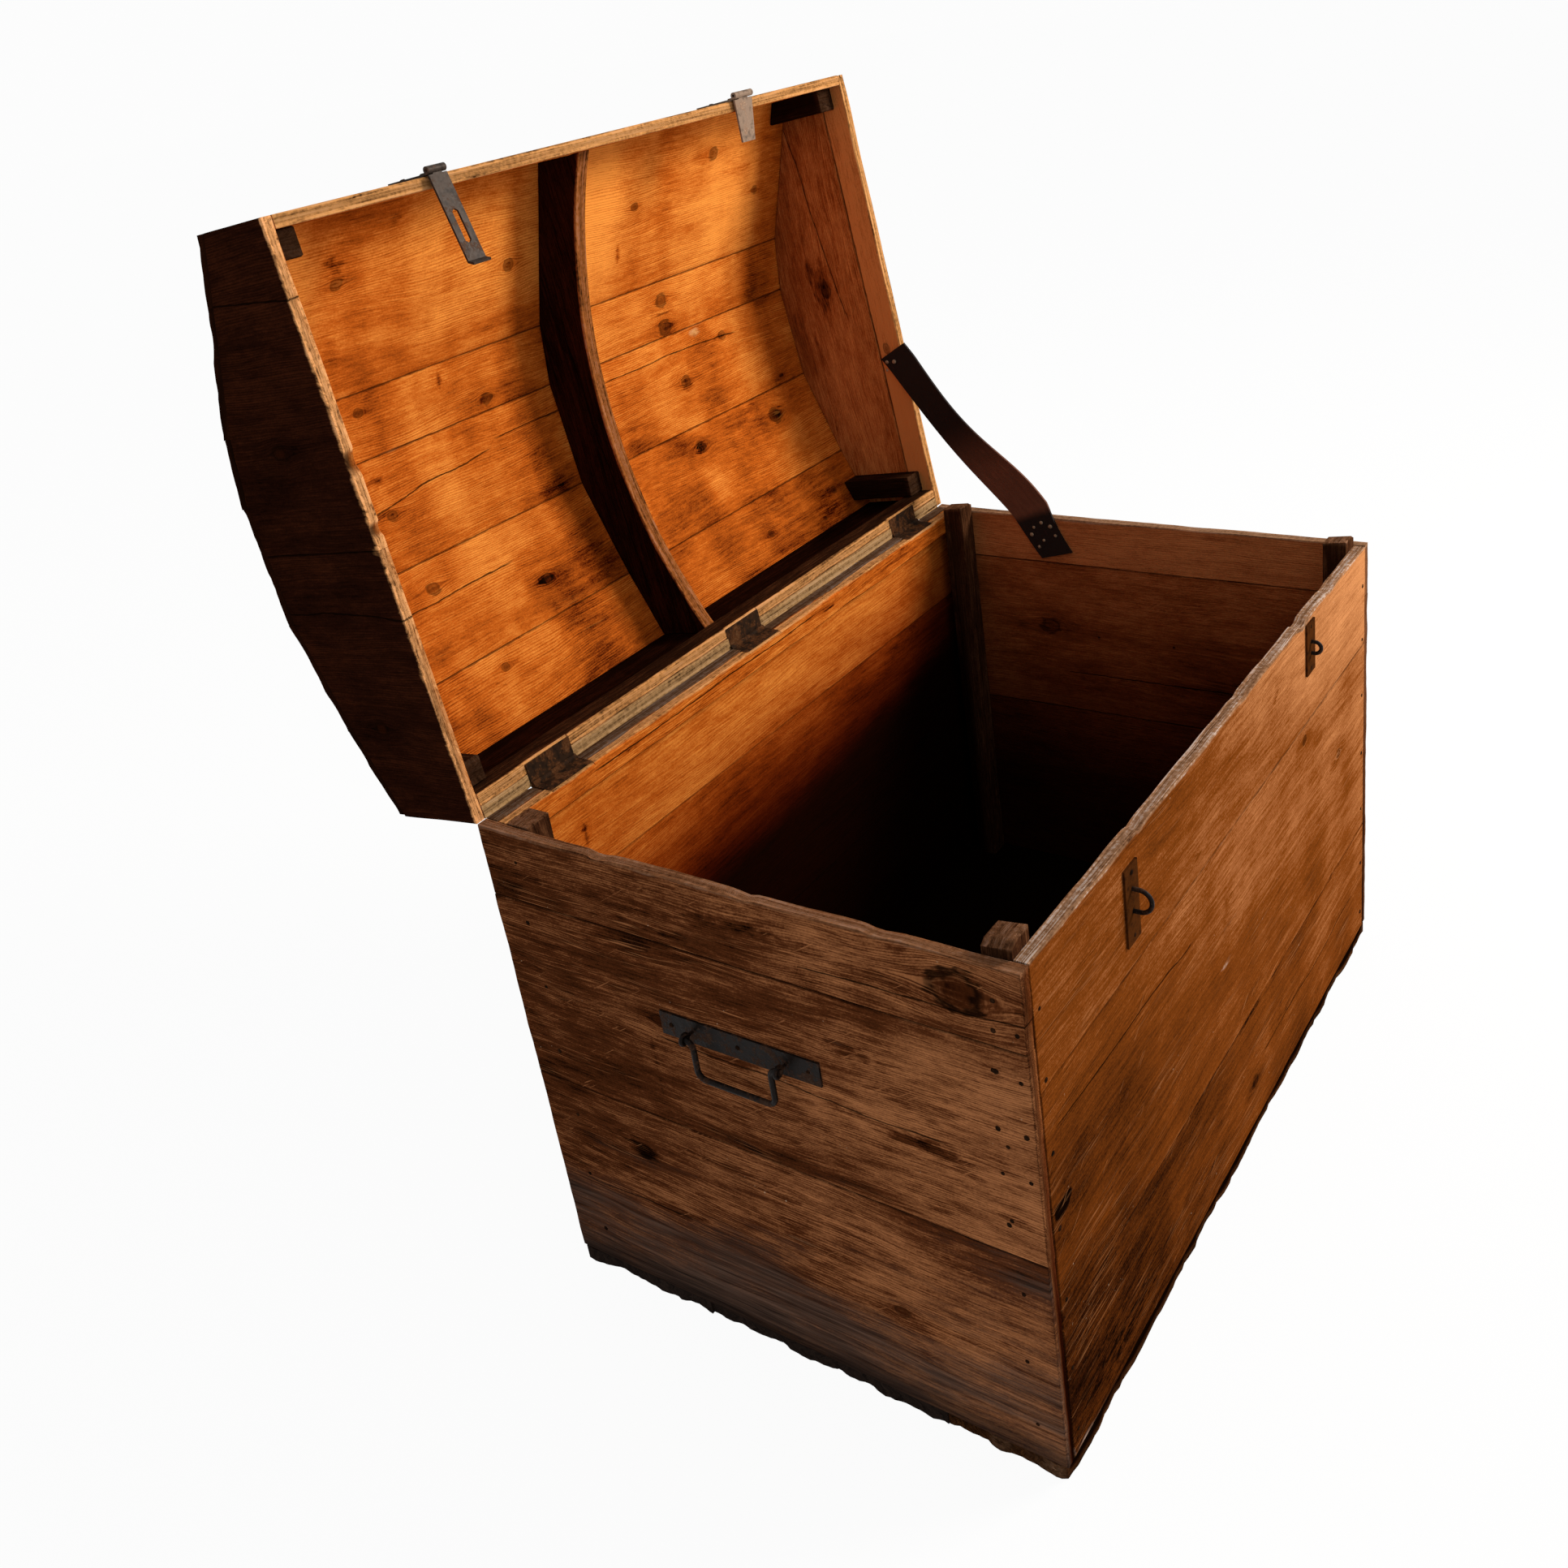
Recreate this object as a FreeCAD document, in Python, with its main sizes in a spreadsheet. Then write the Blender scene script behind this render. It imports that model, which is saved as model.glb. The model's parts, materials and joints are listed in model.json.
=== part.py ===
"""Grain ark chest with a low domed lid, shown open against its leather stay.

Millimetres, +Z up. The origin is on the floor under the middle of the chest.
+X runs to the right end, -Y to the front.
"""
import FreeCAD, Part
import math
import os

import Sketcher

V = FreeCAD.Vector

SIZES = [
    # Chest
    ("width", 1200), ("depth", 768), ("side_high", 708), ("board", 18), ("bottom_board", 26),
    ("seam", 0.4), ("front_seam_top", 167), ("front_seam_low", 503),
    ("left_seam_top", 103), ("left_seam_low", 391), ("right_seam_top", 87),
    ("right_seam_low", 374), ("back_seam_top", 164), ("back_seam_low", 470),
    ("bottom_seam_back", 231), ("bottom_seam_mid", 435), ("bottom_seam_front", 602),
    ("post_wide", 40), ("post_deep", 36), ("post_rise", 18), ("cut_post_rise", 2),
    ("post_slope", 7), ("batten_thick", 18), ("batten_high", 36), ("batten_round", 6),
    # Lid, measured with the lid closed: heights above the rim, distances from the back
    ("open_angle", 97.7), ("lid_gap", 1.5), ("lid_board", 16), ("top_board", 17),
    ("dome_back", 158), ("dome_a", 201), ("dome_b", 243), ("dome_c", 248), ("dome_d", 231),
    ("dome_front", 130), ("top_wide_a", 121), ("top_wide_b", 154), ("top_wide_c", 160),
    ("top_wide_d", 91), ("left_end_seam", 371), ("right_end_seam", 47),
    ("rib_left", 562), ("rib_thick", 22), ("rib_crown", 136), ("rib_crown_at", 400),
    ("rib_foot_front", 34), ("rib_foot_back", 48), ("block_lift", 22),
    ("lid_batten_thick", 17), ("lid_batten_high", 45), ("batten_clear", 1),
    # Butt hinges
    ("hinge_first", 146), ("hinge_mid", 586), ("hinge_last_in", 134), ("leaf_wide", 84),
    ("leaf_deep", 30), ("leaf_thick", 2), ("barrel_radius", 4.5), ("pin_radius", 2.2),
    ("pin_clear", 0.05), ("pin_back", 0.5), ("barrel_clear", 0.4), ("knuckle_gap", 0.3), ("screw_head", 4),
    ("screw_radius", 1.8), ("screw_long", 13), ("screw_in", 14), ("screw_spread", 27),
    # Hasps and staples
    ("hasp_left_at", 262), ("hasp_right_at", 905), ("hasp_wide", 30), ("short_wide", 45),
    ("short_tip", 32), ("hasp_thick", 3), ("hasp_barrel", 5), ("hasp_pin", 2),
    ("hasp_out", 6.5), ("hasp_drop", 6), ("hasp_long", 118), ("short_long", 70),
    ("hasp_swing", 19), ("slot_long", 44), ("slot_wide", 10), ("slot_low", 3), ("lip_long", 9),
    ("lip_angle", 60), ("hasp_plate_high", 68),
    ("staple_drop", 76), ("staple_rod", 2.8), ("staple_round", 15), ("staple_leg", 8),
    ("small_drop", 50), ("small_round", 9), ("small_leg", 5), ("staple_plate_wide", 35),
    ("staple_plate_high", 103), ("staple_plate_top", 30), ("small_plate_high", 80),
    ("small_plate_top", 10), ("iron_plate", 3),
    # Handles
    ("handle_back", 376), ("handle_drop", 222), ("handle_plate_long", 237),
    ("handle_plate_high", 34), ("bail_half", 58), ("bail_drop", 54), ("bail_rod", 3.8),
    ("bail_bend", 12), ("bail_stub", 16), ("eye_rod", 2.6), ("eye_stem", 2.2), ("eye_out", 18),
    ("eye_clear", 0.08),
    # Leather stay, corners as distance from the back and height above the rim
    ("strap_thick", 4), ("strap_clear", 0.4), ("strap_top_back", -81), ("strap_top_high", 277),
    ("strap_side_back", -31), ("strap_side_high", 307), ("strap_foot_front", 267),
    ("strap_foot_low", -62), ("strap_foot_back", 208), ("strap_foot_end", -78),
    ("strap_bow", 8),
    # Nails and tacks
    ("nail_head", 3.2), ("nail_shank", 1.4), ("nail_long", 46), ("nail_proud", 0.8),
    ("plate_nail_long", 18),
    ("tack_head", 3.6), ("tack_shank", 1.1), ("tack_long", 16),
]

doc = FreeCAD.newDocument("grain_ark")
sheet = doc.addObject("Spreadsheet::Sheet", "sizes")
for row, (alias, value) in enumerate(SIZES, start=1):
    sheet.set("A%d" % row, alias)
    sheet.set("B%d" % row, str(value))
    sheet.setAlias("B%d" % row, alias)
doc.recompute()

NODES = []


def num(expression):
    """The number that an expression of sheet cells gives now."""
    return float(sheet.evalExpression(named(expression)))


def named(expression):
    """Puts the sheet's name before each size in an expression."""
    out = ""
    word = ""
    for letter in str(expression) + " ":
        if letter.isalpha() or letter == "_":
            word += letter
            continue
        out += "sizes." + word if word in ALIASES else word
        out += letter
        word = ""
    return out.strip()


ALIASES = {alias for alias, value in SIZES}

# Places that several pieces share, as expressions of the sizes. X, Y and Z are the model's own.
LEFT = "(-width / 2)"
RIGHT = "(width / 2)"
FRONT = "(-depth / 2)"
BACK = "(depth / 2)"
RIM = "(bottom_board + side_high)"
PIN_Y = "(depth / 2 + pin_back)"
PIN_Z = "(bottom_board + side_high + lid_gap / 2)"
TURN = "(-open_angle * 1 deg)"


def place(piece, x, y, z, angle=None):
    """Binds a piece's place, and its turn about X where it has one."""
    for name, value in (("x", x), ("y", y), ("z", z)):
        piece.setExpression("Placement.Base." + name, named(value))
    if angle is not None:
        piece.Placement.Rotation.Axis = V(1, 0, 0)
        piece.setExpression("Placement.Rotation.Angle", named(angle))
    return piece


def lid_y(back, high):
    """Y of a lid point given by its closed distance from the back and height above the lid's rim."""
    return "(%s + (-(%s) - pin_back) * cos(%s) - ((%s) + lid_gap / 2) * sin(%s))" % (
        PIN_Y, back, TURN, high, TURN)


def lid_z(back, high):
    """Z of the same point."""
    return "(%s + (-(%s) - pin_back) * sin(%s) + ((%s) + lid_gap / 2) * cos(%s))" % (
        PIN_Z, back, TURN, high, TURN)


def box(name, x, y, z, length, width, height, angle=None):
    """A block whose low corner is at x, y, z."""
    piece = doc.addObject("Part::Box", name)
    for prop, value in (("Length", length), ("Width", width), ("Height", height)):
        piece.setExpression(prop, named(value))
    return place(piece, x, y, z, angle)


def lid_box(name, x, back, high, length, width, height):
    """A block in the lid. Its width runs forward from back, its height up from high."""
    far = "((%s) + (%s))" % (back, width)
    return box(name, x, lid_y(far, high), lid_z(far, high), length, width, height, TURN)


def rod(name, radius, length, x, y, z, axis=(0, 0, 1)):
    """A cylinder from x, y, z along an axis given as a unit vector."""
    piece = doc.addObject("Part::Cylinder", name)
    piece.setExpression("Radius", named(radius))
    piece.setExpression("Height", named(length))
    piece.Placement.Rotation = FreeCAD.Rotation(V(0, 0, 1), V(*axis))
    return place(piece, x, y, z)


def fuse(name, pieces):
    """One solid from touching pieces."""
    whole = doc.addObject("Part::MultiFuse", name)
    whole.Shapes = pieces
    whole.Refine = True
    return whole


def cut(name, base, tools):
    """The base with the tools taken out of it."""
    tool = tools[0]
    if len(tools) > 1:
        tool = doc.addObject("Part::MultiFuse", name + "_tools")
        tool.Shapes = tools
    whole = doc.addObject("Part::Cut", name)
    whole.Base = base
    whole.Tool = tool
    return whole


def group(name, pieces):
    """Separate solids under one node."""
    whole = doc.addObject("Part::Compound", name)
    whole.Links = pieces
    return node(whole, name)


def node(piece, name):
    """Marks a piece as a sub-part with a name of its own."""
    piece.Label = name
    NODES.append(piece)
    return piece


def origin_plane(body, role):
    """A body's own origin plane."""
    return [plane for plane in body.Origin.OriginFeatures if plane.Role == role][0]


def outline(body, role, points, arc_after=None, arc_mid=None):
    """A closed sketch on an origin plane through points given as pairs of expressions.

    The side after point number arc_after is an arc through arc_mid.
    """
    sketch = body.newObject("Sketcher::SketchObject", body.Name + "_outline")
    sketch.AttachmentSupport = [(origin_plane(body, role), "")]
    sketch.MapMode = "FlatFace"
    spots = [V(num(u), num(v), 0) for u, v in points]
    count = len(spots)
    starts = []
    ends = []
    for index, spot in enumerate(spots):
        following = spots[(index + 1) % count]
        if index == arc_after:
            middle = V(num(arc_mid[0]), num(arc_mid[1]), 0)
            # A sketch keeps its arcs anticlockwise.
            forward = (middle - spot).cross(following - middle).z > 0
            ends_of_arc = (spot, following) if forward else (following, spot)
            sketch.addGeometry(Part.Arc(ends_of_arc[0], middle, ends_of_arc[1]))
            starts.append(1 if forward else 2)
            ends.append(2 if forward else 1)
        else:
            sketch.addGeometry(Part.LineSegment(spot, following))
            starts.append(1)
            ends.append(2)
    for index in range(count):
        following = (index + 1) % count
        sketch.addConstraint(
            Sketcher.Constraint("Coincident", index, ends[index], following, starts[following]))
    for index, (u, v) in enumerate(points):
        bind(sketch, "DistanceX", index, starts[index], u)
        bind(sketch, "DistanceY", index, starts[index], v)
    if arc_after is not None:
        sketch.addGeometry(Part.Point(V(num(arc_mid[0]), num(arc_mid[1]), 0)), True)
        bind(sketch, "DistanceX", count, 1, arc_mid[0])
        bind(sketch, "DistanceY", count, 1, arc_mid[1])
        sketch.addConstraint(Sketcher.Constraint("PointOnObject", count, 1, arc_after))
    return sketch


def bind(sketch, kind, geometry, end, expression):
    """Holds one end of a sketch line at a distance from the origin."""
    number = sketch.addConstraint(
        Sketcher.Constraint(kind, -1, 1, geometry, end, num(expression)))
    sketch.setExpression("Constraints[%d]" % number, named(expression))


def plate(name, role, points, thickness, arc_after=None, arc_mid=None):
    """A body made of one outline padded by a thickness."""
    body = doc.addObject("PartDesign::Body", name)
    pad = body.newObject("PartDesign::Pad", name + "_pad")
    pad.Profile = outline(body, role, points, arc_after, arc_mid)
    pad.setExpression("Length", named(thickness))
    return body


# ---------------------------------------------------------------- chest

def wall_boards(side, x, y, length, width, seams):
    """Three boards of one wall, top to bottom, with a hairline seam between them."""
    edges = ["0"] + list(seams) + ["side_high"]
    made = []
    for level, (top, low) in enumerate(zip(edges, edges[1:])):
        names = ("top", "middle", "bottom")
        gap = "0" if level == 2 else "seam"
        bottom = "%s - %s + %s" % (RIM, low, gap)
        made.append(box("%s_board_%s" % (side, names[level]), x, y, bottom,
                        length, width, "%s - %s - %s" % (low, top, gap)))
    return made


def walls():
    """The four walls. The end boards run past the front and back boards."""
    inner = "width - 2 * board"
    front = wall_boards("front", LEFT + " + board", FRONT, inner, "board",
                        ("front_seam_top", "front_seam_low"))
    left = wall_boards("left_end", LEFT, FRONT, "board", "depth",
                       ("left_seam_top", "left_seam_low"))
    right = wall_boards("right_end", RIGHT + " - board", FRONT, "board", "depth",
                        ("right_seam_top", "right_seam_low"))
    back = wall_boards("back", LEFT + " + board", BACK + " - board", inner, "board",
                       ("back_seam_top", "back_seam_low"))
    for piece in front + left + right + back[1:]:
        node(piece, piece.Name)
    back[0].Label = "back_board_top_blank"
    node(cut("back_board_top_mortised", back[0], mortises("back")), "back_board_top")


def mortises(piece):
    """Recesses in the rim for the chest's hinge leaves and for their barrels."""
    made = []
    for number, at in enumerate(HINGES):
        middle = "%s + %s" % (LEFT, at)
        made.append(box("mortise_%s_%d" % (piece, number), middle + " - leaf_wide / 2",
                        BACK + " - leaf_deep", RIM + " - leaf_thick", "leaf_wide",
                        "leaf_deep + pin_back", "2 * leaf_thick"))
        made.append(box("notch_%s_%d" % (piece, number), middle + " - leaf_wide / 2 - 1",
                        "%s - (%s)" % (BACK, NOTCH_DEEP), "%s - (%s)" % (RIM, NOTCH_HIGH),
                        "leaf_wide + 2", NOTCH_DEEP + " + 1", NOTCH_HIGH + " + 1"))
    return made


NOTCH_DEEP = "barrel_radius + barrel_clear - pin_back"
NOTCH_HIGH = "barrel_radius + barrel_clear - lid_gap / 2"
HINGES = ("hinge_first", "hinge_mid", "(width - hinge_last_in)")


def bottom():
    """Bottom boards run from end to end under the walls."""
    seams = ["0", "bottom_seam_back", "bottom_seam_mid", "bottom_seam_front", "depth"]
    for number, (back, front) in enumerate(zip(seams, seams[1:]), start=1):
        gap = "0" if front == "depth" else "seam"
        node(box("bottom_board_%d" % number, LEFT, "%s - %s + %s" % (BACK, front, gap), "0",
                 "width", "%s - %s - %s" % (front, back, gap), "bottom_board"),
             "bottom_board_%d" % number)


def posts():
    """Four corner posts. Each top slopes down towards the inside of the chest."""
    low = "bottom_board"
    foremost = FRONT + " + board"
    rearmost = BACK + " - board - batten_thick - post_deep"
    for name, right, y, rise in (("front_left", False, foremost, "post_rise"),
                                 ("front_right", True, foremost, "post_rise"),
                                 ("back_left", False, rearmost, "cut_post_rise"),
                                 ("back_right", True, rearmost, "post_rise")):
        slope = "post_slope" if rise == "post_rise" else "0.15 * post_slope"
        high = "side_high + " + rise
        outer, inner = (high, high + " - " + slope)
        points = [("0", "0"), ("post_wide", "0"), ("post_wide", inner), ("post_wide * 0.55", outer),
                  ("0", outer)]
        if right:
            points = [("0", "0"), ("post_wide", "0"), ("post_wide", outer),
                      ("post_wide * 0.45", outer), ("0", inner)]
        x = RIGHT + " - board - post_wide" if right else LEFT + " + board"
        piece = plate("post_" + name, "XZ_Plane", points, "post_deep")
        node(place(piece, x, y + " + post_deep", low), "corner_post_" + name)


def chest_batten():
    """The hinge batten along the inside of the back, with a rounded front edge and mortises."""
    body = doc.addObject("PartDesign::Body", "batten")
    pad = body.newObject("PartDesign::Pad", "batten_pad")
    pad.Profile = outline(body, "YZ_Plane", [
        ("0", "0"), ("batten_thick", "0"), ("batten_thick", "batten_high"),
        ("batten_round", "batten_high"), ("0", "batten_high - batten_round")],
        arc_after=3, arc_mid=("batten_round * 0.293", "batten_high - batten_round * 0.293"))
    pad.setExpression("Length", named("width - 2 * board"))
    place(body, LEFT + " + board", BACK + " - board - batten_thick", RIM + " - batten_high")
    node(cut("batten_mortised", body, mortises("batten")), "chest_hinge_batten")


# ---------------------------------------------------------------- lid

SEAM_B = "(top_wide_a + top_wide_b)"
SEAM_C = "(top_wide_a + top_wide_b + top_wide_c)"
SEAM_D = "(top_wide_a + top_wide_b + top_wide_c + top_wide_d)"
DOME = [("0", "dome_back"), ("top_wide_a", "dome_a"), (SEAM_B, "dome_b"), (SEAM_C, "dome_c"),
        (SEAM_D, "dome_d"), ("depth", "dome_front")]


def lid_point(back, high):
    """A closed lid point in a lid body's own frame, whose origin is the hinge pin."""
    return ("-(%s) - pin_back" % back, "%s + lid_gap / 2" % high)


def under(back):
    """Height of the dome's inner face above the lid's rim at a distance from the back."""
    at = num(back)
    for (a, high_a), (b, high_b) in zip(DOME, DOME[1:]):
        if at <= num(b):
            return "(%s + (%s - %s) * ((%s) - %s) / (%s - %s) - top_board)" % (
                high_a, high_b, high_a, back, a, b, a)
    return "(dome_front - top_board)"


def between(back, front):
    """Points along the dome's inner face from one distance to another."""
    inside = [(a, high + " - top_board") for a, high in DOME if num(back) < num(a) < num(front)]
    return [(back, under(back))] + inside + [(front, under(front))]


def lid_plate(name, x, outline_points, thickness, arc_after=None, arc_mid=None):
    """A lid piece drawn in the side view of the closed lid and padded to the right."""
    points = [lid_point(back, high) for back, high in outline_points]
    middle = lid_point(*arc_mid) if arc_mid else None
    piece = plate(name, "YZ_Plane", points, thickness, arc_after, middle)
    return place(piece, x, PIN_Y, PIN_Z, TURN)


def lid_boards():
    """Top, front and back boards of the lid."""
    for number, ((a, high_a), (b, high_b)) in enumerate(zip(DOME, DOME[1:]), start=1):
        gap = "0" if b == "depth" else "seam"
        edge = "%s - %s" % (b, gap)
        high = "%s + (%s - %s) * %s / (%s - %s)" % (high_b, high_a, high_b, gap, b, a)
        section = [(a, high_a), (edge, high), (edge, high + " - top_board"),
                   (a, high_a + " - top_board")]
        node(lid_plate("top_%d" % number, LEFT, section, "width"), "lid_top_board_%d" % number)
    inner = "width - 2 * lid_board"
    x = LEFT + " + lid_board"
    front = [("depth - lid_board", "0"), ("depth", "0"), ("depth", under("depth")),
             ("depth - lid_board", under("depth - lid_board"))]
    node(lid_plate("lid_front", x, front, inner), "lid_front_board")
    back = [("0", "0"), ("lid_board", "0"), ("lid_board", under("lid_board")),
            ("0", under("0"))]
    blank = lid_plate("lid_back", x, back, inner)
    node(cut("lid_back_mortised", blank, lid_mortises("back")), "lid_back_board")


def lid_mortises(piece):
    """Recesses in the lid's rim for its hinge leaves and for their barrels."""
    made = []
    for number, at in enumerate(HINGES):
        middle = "%s + %s" % (LEFT, at)
        made.append(lid_box("lid_mortise_%s_%d" % (piece, number), middle + " - leaf_wide / 2",
                            "-pin_back", "-leaf_thick", "leaf_wide", "leaf_deep + pin_back",
                            "2 * leaf_thick"))
        made.append(lid_box("lid_notch_%s_%d" % (piece, number),
                            middle + " - leaf_wide / 2 - 1", "-1", "-1", "leaf_wide + 2",
                            NOTCH_DEEP + " + 1", NOTCH_HIGH + " + 1"))
    return made


def lid_ends():
    """The left end is two upright boards, the right end a low board and a domed one."""
    rear = between("0", "left_end_seam - seam")
    fore = between("left_end_seam", "depth")
    node(lid_plate("left_rear", LEFT, rear + [("left_end_seam - seam", "0"), ("0", "0")],
                   "lid_board"), "lid_left_end_rear")
    node(lid_plate("left_fore", LEFT, fore + [("depth", "0"), ("left_end_seam", "0")],
                   "lid_board"), "lid_left_end_front")
    x = RIGHT + " - lid_board"
    low = [("0", "0"), ("depth", "0"), ("depth", "right_end_seam - seam"),
           ("0", "right_end_seam - seam")]
    node(lid_plate("right_low", x, low, "lid_board"), "lid_right_end_low")
    high = between("0", "depth") + [("depth", "right_end_seam"), ("0", "right_end_seam")]
    node(lid_plate("right_high", x, high, "lid_board"), "lid_right_end_high")


def lid_frame():
    """Curved rib, hinge batten and corner blocks inside the lid."""
    back = "lid_board"
    front = "depth - lid_board"
    dome = between(back, front)
    points = dome + [(front, "rib_foot_front"), (back, "rib_foot_back")]
    rib = lid_plate("rib", LEFT + " + rib_left", points, "rib_thick", arc_after=len(dome),
                    arc_mid=("rib_crown_at", "rib_crown"))
    node(rib, "lid_rib")
    batten = lid_box("lid_batten", LEFT + " + lid_board", "lid_board", "0",
                     "width - 2 * lid_board", "lid_batten_thick", "lid_batten_high")
    node(cut("lid_batten_mortised", batten, lid_mortises("batten")), "lid_hinge_batten")
    blocks = []
    foremost = "depth - lid_board - post_deep"
    rearmost = "lid_board + lid_batten_thick + batten_clear"
    for name, at, top in (("front", foremost, under("depth")), ("back", rearmost, under("0"))):
        for side, x in (("left", LEFT + " + lid_board"),
                        ("right", RIGHT + " - lid_board - post_wide")):
            blocks.append(lid_box("block_%s_%s" % (name, side), x, at, "block_lift", "post_wide",
                                  "post_deep", top + " - block_lift"))
    group("lid_corner_blocks", blocks)


# ---------------------------------------------------------------- hinges

def knuckles(name, at, own, radius, y, z):
    """Barrel pieces of a five-knuckle hinge, those with numbers in own."""
    share = "leaf_wide / 5"
    return [rod("%s_%d" % (name, number), radius, share + " - knuckle_gap",
                "%s + %s - leaf_wide / 2 + %d * %s + knuckle_gap / 2" % (LEFT, at, number, share),
                y, z, (1, 0, 0))
            for number in own]


def hinge_leaf(name, at, flap, own, other):
    """A leaf: flap and own knuckles, cleared for the other leaf's knuckles and the pin."""
    solid = fuse(name + "_solid", [flap] + knuckles(name + "_own", at, own, "barrel_radius",
                                                    PIN_Y, PIN_Z))
    share = "leaf_wide / 5"
    clear = [rod("%s_clear_%d" % (name, number), "barrel_radius + knuckle_gap",
                 share + " + knuckle_gap",
                 "%s + %s - leaf_wide / 2 + %d * %s - knuckle_gap / 2" % (LEFT, at, number, share),
                 PIN_Y, PIN_Z, (1, 0, 0)) for number in other]
    bore = rod(name + "_bore", "pin_radius + pin_clear", "leaf_wide + 2",
               "%s + %s - leaf_wide / 2 - 1" % (LEFT, at), PIN_Y, PIN_Z, (1, 0, 0))
    return cut(name, solid, clear + [bore])


def hinges():
    """Three butt hinges let into the rim, with their pins and screws."""
    chest_leaves = []
    lid_leaves = []
    pins = []
    chest_screws = []
    lid_screws = []
    for number, at in enumerate(HINGES):
        x = "%s + %s - leaf_wide / 2" % (LEFT, at)
        flap = box("chest_flap_%d" % number, x, BACK + " - leaf_deep", RIM + " - leaf_thick",
                   "leaf_wide", "leaf_deep + pin_back / 2", "leaf_thick")
        chest_leaves.append(hinge_leaf("chest_leaf_%d" % number, at, flap, (0, 2, 4), (1, 3)))
        flap = lid_box("lid_flap_%d" % number, x, "-pin_back / 2", "0", "leaf_wide",
                       "leaf_deep + pin_back / 2", "leaf_thick")
        lid_leaves.append(hinge_leaf("lid_leaf_%d" % number, at, flap, (1, 3), (0, 2, 4)))
        pins.append(rod("hinge_pin_%d" % number, "pin_radius", "leaf_wide", x, PIN_Y, PIN_Z,
                        (1, 0, 0)))
        chest_screws += screws("chest_screw_%d" % number, at, False)
        lid_screws += screws("lid_screw_%d" % number, at, True)
    group("chest_hinge_leaves", chest_leaves)
    group("lid_hinge_leaves", lid_leaves)
    group("hinge_pins", pins)
    group("chest_hinge_screws", chest_screws)
    group("lid_hinge_screws", lid_screws)


def screws(name, at, lid):
    """Three screws of one leaf, domed a little above it and driven into the rim."""
    made = []
    axis = (0, 0, -1)
    if lid:
        angle = math.radians(num("open_angle"))
        axis = (0, math.sin(angle), math.cos(angle))
    for index, offset in enumerate(("-screw_spread", "0", "screw_spread")):
        x = "%s + %s + %s" % (LEFT, at, offset)
        back = "screw_in" if index != 1 else "screw_in + 6"
        proud = "-0.4" if lid else "0.4"
        y = lid_y(back, proud) if lid else "%s - (%s)" % (BACK, back)
        z = lid_z(back, proud) if lid else "%s + %s" % (RIM, proud)
        head = rod("%s_head_%d" % (name, index), "screw_head", "1.2", x, y, z, axis)
        shank = rod("%s_shank_%d" % (name, index), "screw_radius", "screw_long", x, y, z, axis)
        made.append(fuse("%s_%d" % (name, index), [head, shank]))
    return made


# ---------------------------------------------------------------- hasps and staples

HASP_BACK = "(depth + hasp_out)"
HASP_Y = lid_y(HASP_BACK, "-hasp_drop")
HASP_Z = lid_z(HASP_BACK, "-hasp_drop")


def hasp_plate(side, at, wide):
    """The plate on the lid's front with the hasp's two outer knuckles."""
    x = "%s + %s - %s / 2" % (LEFT, at, wide)
    name = "hasp_plate_" + side
    parts = [
        lid_box(name + "_flat", x, "depth", "2", wide, "hasp_thick", "hasp_plate_high"),
        lid_box(name + "_web", x, "depth + 1.5", "-hasp_drop", wide, "hasp_thick",
                "hasp_drop + 6"),
        rod(name + "_barrel", "hasp_barrel", wide, x, HASP_Y, HASP_Z, (1, 0, 0)),
    ]
    solid = fuse(name + "_solid", parts)
    gap = lid_box(name + "_gap", "%s + %s - %s / 4 - knuckle_gap" % (LEFT, at, wide), "depth",
                  "-hasp_drop - 8", "%s / 2 + 2 * knuckle_gap" % wide, "hasp_out + 8",
                  "hasp_drop + 8 + 1")
    bore = rod(name + "_bore", "hasp_pin + pin_clear", wide + " + 2", x + " - 1", HASP_Y, HASP_Z,
               (1, 0, 0))
    node(cut(name, solid, [gap, bore]), name)


def hasp_strap(side, at, wide, tip, long, swing, slotted):
    """The hanging strap with its middle knuckle, turned out from plumb by its swing."""
    name = "hasp_" + side
    turn = "(-(%s) * 1 deg)" % swing
    reach = "(hasp_barrel + knuckle_gap + 1)"
    points = [("-%s / 2" % wide, "-%s" % reach), ("-%s / 4" % wide, "-%s" % reach),
              ("-%s / 4" % wide, "0"), ("%s / 4" % wide, "0"),
              ("%s / 4" % wide, "-%s" % reach), ("%s / 2" % wide, "-%s" % reach),
              ("%s / 2" % tip, "-%s" % long), ("-%s / 2" % tip, "-%s" % long)]
    flat = plate(name + "_flat", "XZ_Plane", points, "hasp_thick")
    middle = "%s + %s" % (LEFT, at)
    place(flat, middle, "%s + hasp_thick / 2 * cos(%s)" % (HASP_Y, turn),
          "%s + hasp_thick / 2 * sin(%s)" % (HASP_Z, turn), turn)
    barrel = rod(name + "_barrel", "hasp_barrel", wide + " / 2", "%s - %s / 4" % (middle, wide),
                 HASP_Y, HASP_Z, (1, 0, 0))
    solid = fuse(name + "_solid", [flat, barrel])
    tools = [rod(name + "_bore", "hasp_pin + pin_clear", wide, "%s - %s / 2" % (middle, wide),
                 HASP_Y, HASP_Z, (1, 0, 0))]
    if slotted:
        tools.append(slot(name, middle, turn))
        solid = fuse(name + "_lipped", [solid, lip(name, middle, tip, long, turn)])
    node(cut(name, solid, tools), name)


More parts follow.
